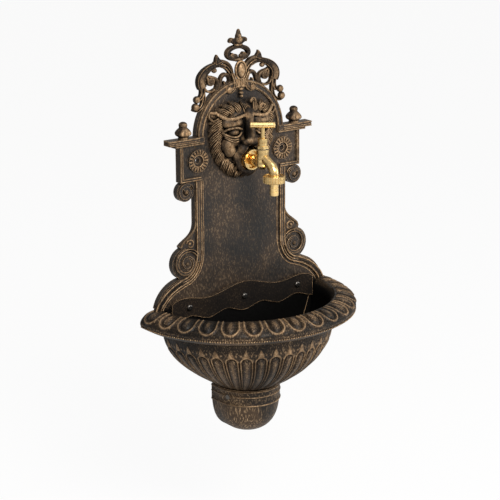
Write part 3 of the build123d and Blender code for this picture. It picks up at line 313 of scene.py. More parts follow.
plate_paint = bronze_paint("bronze_plate", "bevel", 0.17, 0.6, 0.0007, 0.32, (1, 1, 0.45))
strip_paint = bronze_paint("bronze_strip", "bevel", 0.06, 0.12, 0.0006, 0.07)
cup_paint = bronze_paint("bronze_cup", "bevel", 0.6, 1.9, 0.0009, 0.2, (1, 1, 0.12))
cast_paint = bronze_paint("bronze_cast", "rub_and_shade", 0.12, 0.2, 0.0004, 0.09)
bowl_paint = bronze_paint("bronze_bowl", "rub_and_shade", 0.55, 1.0, 0.0005, 0.16)
print("paints", [paint.name for paint in (plate_paint, strip_paint, cup_paint, cast_paint, bowl_paint)])

# %% [markdown]
# ## Brass, steel and rubber
# The tap is polished brass: a metal shader with low roughness shows the room by itself, and a little noise in
# roughness and bump keeps it from looking like plastic. Bolts and screws are dull steel, blackened where they show,
# and the seals are rubber.

# %% Metals and rubber
SHADE = 0.72


def metal(name, colour, low, high, scale, depth=0.00005):
    finish, tree = new_paint(name)
    cloud = noise_value(tree, scale, 3, 0.55)
    dark = (*(SHADE * channel for channel in colour[:3]), 1)
    dress(tree, Metallic=1.0, Base_Color=colour_mix(tree, ramp_between(tree, cloud, 0.25, 0.6), dark, colour),
          Roughness=math_node(tree, "MULTIPLY_ADD", cloud, high - low, low), Normal=bumpy(tree, cloud, 0.5, depth))
    return finish


brass = metal("polished_brass", (0.86, 0.62, 0.28, 1), 0.19, 0.36, 260, 0.0001)
dark_steel = metal("blackened_steel", (0.13, 0.12, 0.11, 1), 0.22, 0.42, 900)
steel = metal("dull_steel", (0.42, 0.41, 0.40, 1), 0.32, 0.55, 900)
rubber, tree = new_paint("black_rubber")
rubber_shade = colour_mix(tree, noise_value(tree, 700), (0.012, 0.012, 0.012, 1), (0.03, 0.03, 0.03, 1))
dress(tree, Base_Color=rubber_shade, Roughness=0.75)

FINISH_OF_CLASS = {"aluminium": plate_paint, "brass": brass, "brushed_steel": steel, "rubber": rubber}
OWN_FINISH = {"drain_cup": cup_paint, "clamp_strip": strip_paint, "basin_bolts": dark_steel, "cup_screws": dark_steel}
class_of_slot = {row["slot"]: row["class"] for row in frame["record"]["materials"]}
for name, node in nodes.items():
    node.data.materials.clear()
    node.data.materials.append(OWN_FINISH.get(name, FINISH_OF_CLASS[class_of_slot[name]]))
print("dressed", len(nodes), "CAD nodes")

# %% [markdown]
# ## Tools for cast ornament
# Most of the ornament is a band with a shaped section that follows a drawn line: beads, frames, scrolls and volutes.
# Each could be extruded face by face, but a curve with a bevel section does it in one go, with a width at every
# point, so scrolls can taper. It becomes a plain mesh at once, in millimetres until the last step.

# %% Sections and sweeps
SECTIONS = []


def section_curve(points):
    """Closed section of a band: X runs across it and Y stands up from its back, in half widths."""
    curve = bpy.data.curves.new("section", "CURVE")
    curve.dimensions = "2D"
    curve.fill_mode = "NONE"
    spline = curve.splines.new("POLY")
    spline.points.add(len(points) - 1)
    for point, (x, y) in zip(spline.points, points):
        point.co = (x, y, 0, 1)
    spline.use_cyclic_u = True
    SECTIONS.append(placed("section", curve))
    return SECTIONS[-1]


def dome_points(rise, count=8, foot=-0.4):
    dome = [(cos(pi * step / count), rise * sin(pi * step / count)) for step in range(count + 1)]
    return [(1, foot)] + dome + [(-1, foot)]


def both_halves(points):
    """A section from its right half, which ends in the middle."""
    return points + [(-x, y) for x, y in reversed(points[:-1])]


ROUND = section_curve(dome_points(1.0))
LOW_ROUND = section_curve(dome_points(0.7))
TUBE = section_curve([(cos(pi * k / 6), sin(pi * k / 6)) for k in range(12)])
GROOVED = section_curve(both_halves([(1, 0), (1, 0.35), (0.84, 0.78), (0.6, 0.92), (0.34, 0.62), (0, 0.46)]))
LEAFY = section_curve(both_halves([(1, 0), (1, 0.42), (0.88, 0.78), (0.72, 0.68), (0.58, 0.84), (0.3, 0.92),
                                   (0, 0.95)]))


def swept(route, section, closed=False, steps=6, sharp=False):
    """Mesh of a section along a smooth route. The route lists X, Z (or X, Y in plan), half width and, if it
    climbs, a height."""
    curve = bpy.data.curves.new("route", "CURVE")
    curve.dimensions = "3D"
    curve.twist_mode = "Z_UP"
    curve.resolution_u = steps
    curve.bevel_mode = "OBJECT"
    curve.bevel_object = section
    curve.use_fill_caps = True
    spline = curve.splines.new("POLY" if sharp else "BEZIER")
    points = spline.points if sharp else spline.bezier_points
    points.add(len(route) - 1)
    for point, (x, z, half, *rise) in zip(points, route):
        point.radius = half
        if sharp:
            point.co = (x, z, sum(rise), 1)
        else:
            point.co = (x, z, sum(rise))
            point.handle_left_type = point.handle_right_type = "AUTO"
    spline.use_cyclic_u = closed
    holder = placed("route", curve)
    mesh = bpy.data.meshes.new_from_object(holder.evaluated_get(bpy.context.evaluated_depsgraph_get()))
    bpy.data.objects.remove(holder)
    bpy.data.curves.remove(curve)
    return mesh


def add_mesh(bm, mesh, matrix, sides=(1,)):
    """Adds a placed copy of a mesh to a bmesh, and its mirror image across X for side -1."""
    for side in sides:
        copy = mesh.copy()
        copy.transform(matrix)
        if side < 0:
            copy.transform(Matrix.Scale(-1, 4, (1, 0, 0)))
            copy.flip_normals()
        bm.from_mesh(copy)
        bpy.data.meshes.remove(copy)
    bpy.data.meshes.remove(mesh)


def facing(out):
    """Stands a flat drawing up on the wall plane: drawn X, Y and height become X, Z and out."""
    return Matrix.Translation((0, -out, 0)) @ Matrix.Rotation(radians(90), 4, "X")


BOTH = (1, -1)


def band(bm, route, section, out, sides=BOTH, closed=False, steps=6, sharp=False, lift=None):
    """A band of ornament on a plane at a distance out. lift is a height and a power that even out its heights, so
    that narrow bands don't come out too thin."""
    mesh = swept(route, section, closed, steps, sharp)
    if lift:
        most, power = lift
        for vertex in mesh.vertices:
            vertex.co.z = most * (max(vertex.co.z, 0) / most) ** power
    add_mesh(bm, mesh, facing(out), sides)


def even(points, half):
    """A route of one width."""
    return [(x, z, half) for x, z in points]


def spiral(x, z, start_r, end_r, start_angle, end_angle, start_half, end_half, count=16):
    """Route of a volute about a centre, tapering as it winds in."""
    route = []
    for share in (step / count for step in range(count + 1)):
        radius = start_r + (end_r - start_r) * share
        angle = radians(start_angle + (end_angle - start_angle) * share)
        half = start_half + (end_half - start_half) * share
        route.append((x + radius * cos(angle), z + radius * sin(angle), half))
    return route


def arc(x, z, radius, start_angle, end_angle, half, count=12):
    return spiral(x, z, radius, radius, start_angle, end_angle, half, half, count)


def bump(bm, place, radii, turn=0.0, detail=10, sides=(1,)):
    """Rounded boss: an ellipsoid at X, out and Z, with radii along X, out and Z, turned in the wall plane."""
    for side in sides:
        ball = bmesh.new()
        bmesh.ops.create_uvsphere(ball, u_segments=2 * detail, v_segments=detail, radius=1)
        turned = Matrix.Rotation(side * turn, 4, "Y") @ Matrix.Diagonal((*radii, 1))
        add_mesh(bm, mesh_of(ball, "ball"), Matrix.Translation((side * place[0], -place[1], place[2])) @ turned)


print("sections", len(SECTIONS))

# %% Finished castings
SHARP = 58.0
DOUBLE = 0.002


def smooth_step(low, high, values):
    share = np.clip((values - low) / (high - low), 0, 1)
    return share * share * (3 - 2 * share)


def vertex_rows(mesh, name):
    """The places (co) or the normals of a mesh's vertices."""
    values = np.empty(len(mesh.vertices) * 3)
    mesh.vertices.foreach_get(name, values)
    return values.reshape(-1, 3)


def outward_bend(mesh):
    """How sharply the surface bends outwards at each vertex, per millimetre, averaged over its neighbours."""
    place = vertex_rows(mesh, "co") / MM
    normal = vertex_rows(mesh, "normal")
    ends = np.empty(len(mesh.edges) * 2, dtype=np.int64)
    mesh.edges.foreach_get("vertices", ends)
    first, second = ends.reshape(-1, 2).T
    step = place[second] - place[first]
    length2 = np.maximum((step ** 2).sum(1), 1e-6)

    def gather(at_first, at_second):
        total = np.zeros(len(place))
        np.add.at(total, first, at_first)
        np.add.at(total, second, at_second)
        return total

    links = np.maximum(gather(1, 1), 1)
    bend = gather(-2 * (normal[first] * step).sum(1) / length2, 2 * (normal[second] * step).sum(1) / length2) / links
    return 0.5 * bend + 0.5 * gather(bend[second], bend[first]) / links


def casting(bm, name, paint, replaced=(), wear=None, wiped=None, crease_shade=0.0):
    """Turns a bmesh in millimetres into a piece in metres on the fountain's body. Its attribute of rub and painted
    shade comes from the mesh's bends (wear), most where they look forward, from the faces that look forward beyond a
    distance out (wiped), and from the mesh itself. The last argument is a depth of painted shade: it takes the
    attribute below zero where the mesh bends inwards, which darkens the creases."""
    bmesh.ops.remove_doubles(bm, verts=bm.verts, dist=DOUBLE)
    bmesh.ops.recalc_face_normals(bm, faces=bm.faces)
    bmesh.ops.scale(bm, vec=(MM, MM, MM), verts=bm.verts)
    mesh = mesh_of(bm, name)
    mesh.polygons.foreach_set("use_smooth", [True] * len(mesh.polygons))
    mesh.set_sharp_from_angle(angle=radians(SHARP))
    worn = np.zeros(len(mesh.vertices), dtype=np.float32)
    mark = mesh.attributes.get("rub_and_shade")
    if mark:
        mark.data.foreach_get("value", worn)
    else:
        mark = mesh.attributes.new("rub_and_shade", "FLOAT", "POINT")
    forward = smooth_step(0.35, 0.95, -vertex_rows(mesh, "normal")[:, 1])
    if wear:
        bend = outward_bend(mesh)
        worn = np.maximum(worn, smooth_step(*wear, bend) * (0.3 + 0.7 * forward))
    if wiped:
        low, high, most = wiped
        out = -vertex_rows(mesh, "co")[:, 1] / MM
        worn = np.maximum(worn, most * forward * smooth_step(low, high, out))
    # painted shade: where the mesh bends inwards the attribute goes below zero, which darkens the creases to
    # near-black
    if crease_shade:
        worn -= crease_shade * smooth_step(0.03, 0.25, -bend)
    mark.data.foreach_set("value", worn.astype(np.float32))
    mesh.materials.append(paint)
    piece = placed(name, mesh)
    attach(piece, "fountain")
    if replaced:
        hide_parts(*replaced)
    faces = sum(len(p.vertices) - 2 for p in mesh.polygons)
    print(name, "triangles", faces, "mean rub", round(float(np.mean(worn)), 3))

# %% [markdown]
# ## Mouldings of the back plate
# The cast plate has flat bands from the CAD model. On the real one each band is framed by two narrow beads that
# catch the light: round the arch, under the shelf, round the shoulder blocks and down the waist, where they sweep
# out under the volutes to the feet. They are laid on as swept beads, so the bands become channels between them.

# %% Beads and borders
PLATE_OUT = 10
BAND_OUT = 12.5
ARCH_Z = 33
ARCH_FOOT_Z = 25.5
BORDER = [(76.5, -30), (76.5, -80), (76.5, -128), (77.5, -148), (83, -163), (93, -173.5), (106, -178.5),
          (119, -184), (132, -192), (142, -201.5), (148.5, -210), (151.5, -217.5)]
FOOT_WEB = [(152, -214.5), (140, -215), (124, -215)]
FLARE = [(80.7, -60, 0.8), (80.9, -88, 1.3), (82.5, -98, 1.7), (88.5, -107, 2), (97, -114, 2.2),
         (105, -121, 2), (107.5, -126, 1.2)]
plate_trim = bmesh.new()
for radius, half, foot_z in ((75.6, 1.7, ARCH_FOOT_Z + 5), (68.7, 1.5, ARCH_FOOT_Z)):
    band(plate_trim, arc(0, ARCH_Z, radius, 0, 180, half, 24), ROUND, BAND_OUT - 0.4, (1,))
    band(plate_trim, even([(radius, ARCH_Z), (radius, foot_z)], half), ROUND, BAND_OUT - 0.4, sharp=True)
band(plate_trim, even([(67.6, ARCH_FOOT_Z), (117, ARCH_FOOT_Z)], 1.3), ROUND, 14, sharp=True)
for x, z, half in ((103.9, -24.6, 0.9), (107, -28, 1.1)):
    for ends in ([(x, 24), (x, z)], [(x, z), (72, z)]):
        band(plate_trim, even(ends, half), ROUND, BAND_OUT - 0.3, sharp=True)
for z, half in ((34.3, 1.1), (31, 0.7), (28.5, 0.9)):
    ledge = even([(76, -16), (128, -16), (128, -1.5)], half)
    add_mesh(plate_trim, swept(ledge, TUBE, sharp=True), Matrix.Translation((0, 0, z)), BOTH)


def beside(points, offset):
    """The same line moved sideways: positive is towards the outside of the plate."""
    moved = []
    for index, (x, z) in enumerate(points):
        before = Vector(points[max(index - 1, 0)])
        after = Vector(points[min(index + 1, len(points) - 1)])
        along = (after - before).normalized()
        moved.append((x - along.y * offset, z + along.x * offset))
    return moved


for offset, half in ((3.6, 1.3), (-0.4, 0.7), (-4, 1.2)):
    band(plate_trim, even(beside(BORDER, offset), half), ROUND, BAND_OUT - 0.5)
band(plate_trim, even(beside(BORDER, -9), 0.8), ROUND, PLATE_OUT - 0.2)
band(plate_trim, even(BORDER[6:], 4.4), LOW_ROUND, PLATE_OUT - 0.3)
band(plate_trim, even(FOOT_WEB, 7.2), LOW_ROUND, 5)
band(plate_trim, FLARE, ROUND, PLATE_OUT - 0.2)
print("bead faces", len(plate_trim.faces))

# %% [markdown]
# ## Volutes and rosettes
# The waist ends in a large volute on each side, with a small leaf eye above it, and the shoulders in a smaller
# rolled scroll. A spiral route that tapers as it winds in makes each of them, with a boss in the eye. The wall
# fixings sit in rosettes: a ring of eighteen petals, each a small ellipsoid set on the CAD disc.

# %% Volutes, scrolls and petals
VOLUTE = (98.5, -151.5)
UPPER_SCROLL = (98.5, -43.5)
FIXING_X = 76.4
PETALS = 18
PETAL_R = 13.2
band(plate_trim, spiral(*VOLUTE, 21.6, 5.5, 150, -395, 3, 1.7, 30), GROOVED, PLATE_OUT - 0.5, lift=(6.5, 0.6))
band(plate_trim, spiral(91.5, -123.5, 7.5, 3.4, 20, 330, 1.6, 1.1, 12), ROUND, PLATE_OUT - 0.2)
band(plate_trim, spiral(*UPPER_SCROLL, 12.4, 5, 165, -300, 2.2, 1.5, 24), GROOVED, PLATE_OUT - 0.5,
     lift=(5.5, 0.6))
for (x, z), radius, rise in ((VOLUTE, 4.2, 5), ((93, -122), 2.6, 2.6), (UPPER_SCROLL, 3.8, 4.6)):
    bump(plate_trim, (x, PLATE_OUT, z), (radius, rise, radius), sides=BOTH)
for index in range(PETALS):
    angle = 2 * pi * index / PETALS
    place = (FIXING_X + PETAL_R * cos(angle), 12.6, PETAL_R * sin(angle))
    bump(plate_trim, place, (4.1, 2.3, 2), turn=-angle, detail=6, sides=BOTH)
for side in BOTH:
    ring = arc(side * FIXING_X, 0, 8.7, 0, 337.5, 0.8, 15)
    band(plate_trim, ring, ROUND, 12.4, (1,), closed=True)
casting(plate_trim, "plate_ornament", cast_paint, wear=(0.10, 0.50), crease_shade=1)

# %% [markdown]
# ## Crest
# The crest is a pierced casting: a three-leaf flower on a loop, two large leafy scrolls, thinner scrolls inside
# them, an oval cabochon in a ring, a fluted stem with a beaded pendant, and a two-ball scroll on each flank. Cutting
# it from a plate would leave flat fronts, so each scroll is a swept band with a flat back and a grooved or leafy
# front. Rounded bosses sit where scrolls end.

# %% Crest scrolls
CREST_BACK = 2
CREST_LIFT = (10.4, 0.32)
SCROLLS = [
    (LEAFY, 10, [(64, 105.4, 6.8), (66.2, 110.8, 7), (66.2, 117.5, 6.8), (62.8, 123.8, 6.2), (56.2, 129.6, 5.2),
                 (47.6, 133.8, 4.2), (39, 135.6, 3.4), (31, 134.6, 3), (24.5, 131.8, 2.8)]),
    (GROOVED, 8, [(35, 135.6, 2.6), (28.5, 134.2, 2.9), (22.2, 131, 3), (16.8, 125.6, 3), (12.8, 118.6, 3),
                  (10.6, 111.4, 3), (9.8, 105, 2.8)]),
    (ROUND, 8, [(43, 138, 2.2), (36, 140, 2.6), (28, 139.8, 2.7), (20.5, 137.2, 2.7), (14.6, 131.8, 2.6),
                (11.4, 125, 2.4), (10, 118, 2)]),
    (LEAFY, 6, [(35.5, 138.5, 6.2), (36.8, 142.5, 4.6), (37.4, 146.5, 2.7), (37, 150.6, 0.5)]),
    (ROUND, 8, [(40.5, 98, 3.4), (38.2, 104.5, 3), (37.4, 110.5, 2.8), (40, 115.4, 2.8), (45.6, 118.2, 2.5),
                (51, 120, 2), (55.4, 123.4, 0.5)]),
    (ROUND, 8, [(44.5, 117, 2), (44.6, 112.2, 2.6), (48.2, 108.8, 2.8), (52.4, 110.8, 2.8), (54.4, 116, 2.2),
                (55.2, 122.6, 0.6)]),
    (ROUND, 8, [(60.2, 110, 1.7), (59, 103.6, 1.8), (54.6, 99, 1.9), (48.6, 98, 1.9), (42.5, 100.2, 2)]),
    (ROUND, 8, [(36, 101, 2.8), (33, 108.5, 2.8), (30.8, 115.4, 2.9), (26, 119.8, 3), (20.2, 119.4, 3),
                (16, 115.2, 2.9), (15.8, 109.6, 2.7), (19.6, 105.6, 2.5), (24.4, 106.6, 2.2), (26, 110.6, 1.8)]),
    (GROOVED, 6, [(64.4, 108, 4.6), (63.6, 101, 4.2), (64.8, 95, 3.6), (68.2, 90.6, 3), (74, 88.4, 2.4)]),
    (GROOVED, 6, [(62.6, 99, 3), (62, 90, 3), (63.8, 81.5, 2.8), (69, 75.6, 2.8), (75.5, 73.4, 2.6),
                  (81, 75.4, 2.2)]),
    (ROUND, 6, [(3, 141.5, 2.2), (9, 142.4, 2.4), (13, 146, 2.3), (10.6, 148.8, 2), (7, 147.2, 1.7)]),
    (LEAFY, 6, [(3, 163.6, 3), (7.8, 168, 3.9), (12.2, 169, 3.3), (15.4, 166.4, 1.4)])]
STEM_SCROLL = [(15, 122, 2.6), (11.8, 115, 2.8), (10.2, 108.5, 2.8), (10.4, 102.5, 2.7), (13.4, 97.6, 2.6),
               (18.8, 95.2, 2.5), (24, 97.4, 2.3), (24.8, 102, 2), (21.6, 104, 1.7), (19, 101.6, 1.3)]
crest_mesh = bmesh.new()
for section, steps, route in SCROLLS:
    band(crest_mesh, route, section, CREST_BACK, steps=steps, lift=CREST_LIFT)
band(crest_mesh, STEM_SCROLL, GROOVED, 11, steps=8, lift=(4.6, 0.5))
print("scroll faces", len(crest_mesh.faces))

# %% Crest bosses, loop, cabochon and pendant
CABOCHON_Z = 125.4
BOSSES = [((49.4, 6.4, 114.2), (4.4, 3.2, 4.6)), ((43, 6.5, 128.4), (4.4, 3.8, 3.8)),
          ((20.9, 12.2, 98.2), (5.4, 3.8, 5.4)), ((75, 7.6, 89.2), (5.6, 5.4, 5.6)),
          ((77.6, 7.6, 78.6), (6, 5.4, 6)), ((6.8, 6.4, 145.4), (6.2, 3.2, 3.9)),
          ((0, 7, 140.6), (9, 4.2, 3.6)), ((0, 6.5, 162.2), (8, 4.6, 2.8)),
          ((0, 7.4, 169.5), (7.4, 4.6, 6.2)), ((0, 7.2, 173), (5.6, 4.2, 8.4)),
          ((0, 7.2, 178), (3.7, 3.2, 7.4)), ((0, 11, 170.6), (2.4, 2.2, 3.8)),
          ((0, 13, 98), (4, 3.4, 2.7)), ((0, 13, 92.4), (3.6, 3.4, 2.7)),
          ((0, 13, 87.4), (3.1, 3.4, 2.7)), ((0, 11, CABOCHON_Z), (10.4, 3, 14.4))]


def sides_of(x):
    """Both sides, or one piece on the middle line."""
    return BOTH if x else (1,)


def oval(z, half_wide, half_high, degrees, width):
    """Route of an oval on the middle line. width gives its half width at an angle."""
    turns = [radians(a) for a in degrees]
    return [(half_wide * cos(a), z + half_high * sin(a), width(a)) for a in turns]


for place, radii in BOSSES:
    bump(crest_mesh, place, radii, sides=sides_of(place[0]))
bump(crest_mesh, (0, 13.4, CABOCHON_Z), (6.6, 4.6, 11.2), detail=14)
loop = oval(149.8, 18.6, 9.2, range(-80, 266, 15), lambda a: 2.8 + 0.9 * abs(cos(a)))
band(crest_mesh, loop, ROUND, CREST_BACK, (1,), closed=True, lift=CREST_LIFT)
ring = oval(CABOCHON_Z, 9, 13, range(0, 360, 20), lambda a: 1.7)
band(crest_mesh, ring, ROUND, 12.6, (1,), closed=True)
for x, lean in ((0, 0), (3.4, 0.7), (6.2, 1.6)):
    flute = [(x + lean, 113.5, 1.5), (x, 108, 1.7), (0.7 * x, 102, 1.5), (0.5 * x, 99.5, 0.8)]
    band(crest_mesh, flute, ROUND, 11.5, sides_of(x), lift=(4.5, 0.5))
casting(crest_mesh, "crest_casting", cast_paint, replaced=["crest"], wear=(0.10, 0.42),
        wiped=(10.2, 11.4, 0.8), crease_shade=1.3)

# %% [markdown]
# ## Shoulder finials
# Two small turned knobs stand on the shelf: a short foot, a flared skirt of petals and a ball above. Spinning a
# profile makes the turned form, and the petals are pressed in afterwards by moving each vertex in or out with its
# angle, which a lathe can't do.

# %% Finials
FINIAL_PLACE = Vector((100, 8.5, 35.5))
FINIAL_LINE = [(0, 0), (7.5, 0), (7.6, 1.2), (7, 2.4), (8.8, 4), (11.4, 5.8), (12.4, 7.8), (11.9, 9.8),
               (10.4, 12), (8.5, 14), (6.5, 15.9), (5.7, 16.9), (6.1, 18.2), (6.4, 19.8), (6.1, 21.8),
               (4.9, 23.4), (2.8, 24.6), (0, 25)]
SKIRT_Z = 9
SKIRT_REACH = 6.6


def finial_mesh(side):
    bm = bmesh.new()
    line = [bm.verts.new((radius, 0, height)) for radius, height in FINIAL_LINE]
    edges = [bm.edges.new(pair) for pair in zip(line, line[1:])]
    bmesh.ops.subdivide_edges(bm, edges=edges, cuts=2)
    bmesh.ops.spin(bm, geom=bm.verts[:] + bm.edges[:], cent=(0, 0, 0), axis=(0, 0, 1), angle=2 * pi, steps=96,
                   use_merge=True)
    bmesh.ops.remove_doubles(bm, verts=bm.verts, dist=0.01)
    for vertex in bm.verts:
        skirt = max(0, 1 - abs(vertex.co.z - SKIRT_Z) / SKIRT_REACH)
        angle = atan2(vertex.co.y, vertex.co.x)
        swell = 1 + 0.17 * skirt * (abs(cos(4 * angle + pi / 8)) ** 0.7 - 0.8)
        vertex.co.x *= swell
        vertex.co.y *= swell
    bmesh.ops.smooth_vert(bm, verts=bm.verts, factor=0.3, use_axis_x=True, use_axis_y=True, use_axis_z=True)
    for vertex in bm.verts:
        vertex.co.y = min(vertex.co.y, FINIAL_PLACE.y - 0.6)
    place = (side * FINIAL_PLACE.x, -FINIAL_PLACE.y, FINIAL_PLACE.z)
    bmesh.ops.translate(bm, vec=place, verts=bm.verts)
    return bm


for side, name in ((-1, "finial_left"), (1, "finial_right")):
    casting(finial_mesh(side), name + "_flower", cast_paint, replaced=[name], wear=(0.10, 0.4),
            wiped=(12, 17, 0.75))

# %% [markdown]
# ## Lion mask
# The face is modelled the way a carver lays it out: a dome, then the masses of brow, cheek, pads and nose, joined and
# smoothed into one skin by a voxel remesh. A mesh pushed by hand would give the same form with far more steps. The
# mouth is cut open for the brass ring. Lids, wrinkles, ears and hair stay crisp, so they are swept bands laid over
# the skin: each lock is a broad band with a few strands on it, and the locks overlap like shingles down the mane.

# %% Skin of the face
MASSES = [((0, 6, 25), (50, 22, 54), 0), ((0, 17, 58), (32, 15, 20), 0), ((28.5, 25, 51.5), (16, 8.8, 8.2), -10),
          ((18, 27.5, 53), (10, 7, 7), 0), ((22.5, 25, 38.5), (9.5, 7.6, 7), 0),
          ((30, 20.5, 21), (14, 11.6, 12), 25), ((28, 21.5, 11.5), (10.5, 10.4, 10.5), 15),
          ((21, 24.5, 25), (11, 8, 9), 20), ((0, 23, 8), (22, 13, 18), 0),
          ((12, 33, 13), (9.5, 8.2, 8.2), 20), ((17.5, 28, 4), (8, 7.6, 11), -10),
          ((0, 41, 25.5), (12, 5.2, 6.2), 0), ((9.8, 38, 24), (5.4, 5.2, 4.8), 0), ((0, 24, -21), (14, 9, 8), 0)]
NOSE = [(0, 31, 66, 7.5), (0, 35.5, 46, 7), (0, 37.5, 30, 8)]
BROW = [(5, 33.8, 64, 2.6), (15, 32.6, 61.4, 2.8), (24, 31.2, 59, 2.9), (33, 29, 58.2, 3), (42, 25.3, 62, 2.9),
        (50, 20.2, 69, 2.7), (57, 16, 68.6, 2.3)]
LIP = [(18.6 * sin(radians(a)), 30, -3 - 18.6 * cos(radians(a)), 4.4) for a in range(0, 131, 10)]
SKIN_STEP = 0.9
MASK_BACK = 10.2


def egg(bm, place, radii, turn=0, sides=(1,)):
    bump(bm, place, radii, radians(turn), 12, sides)


def limb(bm, stations, sides=(1,), count=7):
    """A soft limb of balls between stations of X, out, Z and radius."""
    for first, second in zip(stations, stations[1:]):
        for step in range(count + 1):
            x, out, z, radius = Vector(first).lerp(Vector(second), step / count)
            egg(bm, (x, out, z), (radius, radius, radius), 0, sides)


face_mesh = bmesh.new()
for place, radii, turn in MASSES:
    egg(face_mesh, place, radii, turn, sides_of(place[0]))
limb(face_mesh, NOSE)
limb(face_mesh, BROW, BOTH, 4)
limb(face_mesh, LIP, BOTH, 2)
face = placed("face_masses", mesh_of(face_mesh, "face_masses"))
skin_step = face.modifiers.new("skin", "REMESH")
skin_step.mode = "VOXEL"
skin_step.voxel_size = SKIN_STEP
ease = face.modifiers.new("ease", "SMOOTH")
ease.factor = 0.5
ease.iterations = 11

mouth_mesh = bmesh.new()
bmesh.ops.create_cone(mouth_mesh, cap_ends=True, segments=64, radius1=1, radius2=1, depth=2)
bmesh.ops.transform(mouth_mesh, verts=mouth_mesh.verts, matrix=Matrix.Translation((0, -40, -1.4))
                    @ Matrix.Diagonal((16.2, 28.5, 18, 1)) @ Matrix.Rotation(radians(90), 4, "X"))
mouth = placed("mouth", mesh_of(mouth_mesh, "mouth"))
cut = face.modifiers.new("mouth", "BOOLEAN")
cut.operation = "DIFFERENCE"
cut.solver = "MANIFOLD"
cut.object = mouth
face_skin = bpy.data.meshes.new_from_object(face.evaluated_get(bpy.context.evaluated_depsgraph_get()))
bpy.data.objects.remove(face)
bpy.data.objects.remove(mouth)

mask_mesh = bmesh.new()
mask_mesh.from_mesh(face_skin)
bpy.data.meshes.remove(face_skin)
bmesh.ops.bisect_plane(mask_mesh, geom=mask_mesh.verts[:] + mask_mesh.edges[:] + mask_mesh.faces[:],
                       plane_co=(0, -MASK_BACK, 0), plane_no=(0, 1, 0), clear_outer=True)
bmesh.ops.edgenet_fill(mask_mesh, edges=[edge for edge in mask_mesh.edges if edge.is_boundary])
print("face", len(mask_mesh.faces), "faces, open edges", sum(edge.is_boundary for edge in mask_mesh.edges))

# %% Lids, wrinkles, ears and locks
STRAND = section_curve(dome_points(1.7, 6, -0.8))
ALONG = (0, 0.25, 0.5, 0.75, 1)


def strand(points, widest, sides):
    """A strand of hair through points of X, out and Z: it swells from its root and thins to its tip."""
    route = []
    for (x, out, z), share in zip(points, ALONG):
        swell = sin(pi * (0.2 + 0.8 * share) ** 0.8)
        route.append((x, z, widest * max(swell, 0.2), out))
    add_mesh(mask_mesh, swept(route, STRAND, steps=5), facing(0), sides)


def lock(root, tip, half, count, rise, curl=0, sides=BOTH):
    """A lock of hair from root to tip, both as X, out and Z: a broad soft band that carries a number of strands.
    rise lifts its middle, and curl bends it sideways."""
    root, tip = Vector(root), Vector(tip)
    flow = tip - root
    across = Vector((-flow.z, 0, flow.x)).normalized()
    if across.x < 0:
        across = -across

    def point(t, side):
        wide = half * (0.62 + 0.5 * sin(pi * t) - 0.22 * t)
        place = root + flow * t + across * (side * wide + curl * sin(pi * t))
        place.y += rise * sin(pi * (0.1 + 0.8 * t)) * (1 - 0.5 * side * side) - 3.5 * (1 - t) ** 4
        return tuple(place)

    route = []
    for t in ALONG:
        x, out, z = point(t, 0)
        width = half * (0.6 + 0.5 * sin(pi * t) - 0.3 * t)
        route.append((x, z, width, out - 0.7 * width - 0.2))
    add_mesh(mask_mesh, swept(route, LOW_ROUND, steps=5), facing(0), sides)
    for index in range(count):
        side = 2 * (index + 0.5) / count - 1
        reach = 1 - 0.16 * side * side
        strand([point(t * reach, side) for t in ALONG], 0.92 * half / count, sides)


LINES = [(1.8, [(43, 25.5, 40.6), (36, 31, 44.6), (28, 33.8, 46), (20, 34.4, 45.4), (13, 32.4, 42.5)]),
         (1.4, [(43, 25, 39.6), (35, 30.6, 34.8), (27, 33.2, 32.4), (19, 33.6, 33.2), (13, 32.2, 38)]),
         (1.2, [(41, 26, 36), (34, 30.6, 31), (27, 33, 28.6), (20, 33.6, 29)]),
         (1.1, [(39.5, 27, 32.4), (33, 31.4, 27.8), (26, 33.4, 25.2), (20, 33.4, 25.4)]),
         (1.9, [(57.5, 15.5, 68.5), (59, 15.5, 64), (55.5, 16.5, 58.5), (49, 18.5, 55.5), (44, 20.5, 57)])]
MANE = [((37, 25, 56), (57.5, 12.5, 41), 6.6, 5), ((39, 23, 41), (57, 12, 25), 6.8, 5),
        ((40, 21, 26), (53, 12, 8), 6.6, 5), ((37, 20, 11), (45, 11.5, -8), 6.4, 5),
        ((31, 20.5, 0), (35.5, 11.5, -19), 6, 4), ((23, 22.5, -9), (24, 11.5, -29), 5.8, 4),
        ((12.5, 25, -18), (11.5, 12, -34), 5.4, 4)]
TUFTS = [((31, 26, 63), (47, 14, 72), 5.2, 4), ((23, 27.5, 66), (37, 14, 78), 5.4, 4),
         ((13, 29.5, 67), (24, 14, 82), 5.4, 4), ((43, 22.5, 60), (57, 13.5, 53), 4.6, 4)]
UNDER = Vector((0, 1.8, 0))
for half, points in LINES:
    add_mesh(mask_mesh, swept([(x, z, half, out) for x, out, z in points], TUBE, steps=5), facing(0), BOTH)
egg(mask_mesh, (50, 13.5, 62), (9, 4, 5.5), -35, BOTH)
for (root, tip, half, count), (next_root, next_tip, *_) in zip(MANE, MANE[1:]):
    ends = [Vector(a).lerp(Vector(b), 0.5) - UNDER for a, b in ((root, next_root), (tip, next_tip))]
    lock(*ends, half, count, 3.6, 1.5)
for root, tip, half, count in MANE:
    lock(root, tip, half, count, 3.6, 1.5)
for root, tip, half, count in TUFTS:
    lock(root, tip, half, count, 3.4, -1.5)
lock((0, 27.5, -19), (0, 12, -35), 5, 4, 2.5, sides=(1,))
lock((-3, 33, 62), (-4, 17, 82), 7, 5, 4, 2, sides=(1,))
for index in range(5):
    angle = radians(38 + 26 * index)
    x, z = 15.5 * sin(angle), -3 - 16.5 * cos(angle)
    lock((x, 32.5, z), (x + 7.5 * sin(angle), 24, z - 9.5 * cos(angle) - 3), 3.4, 3, 1.2)
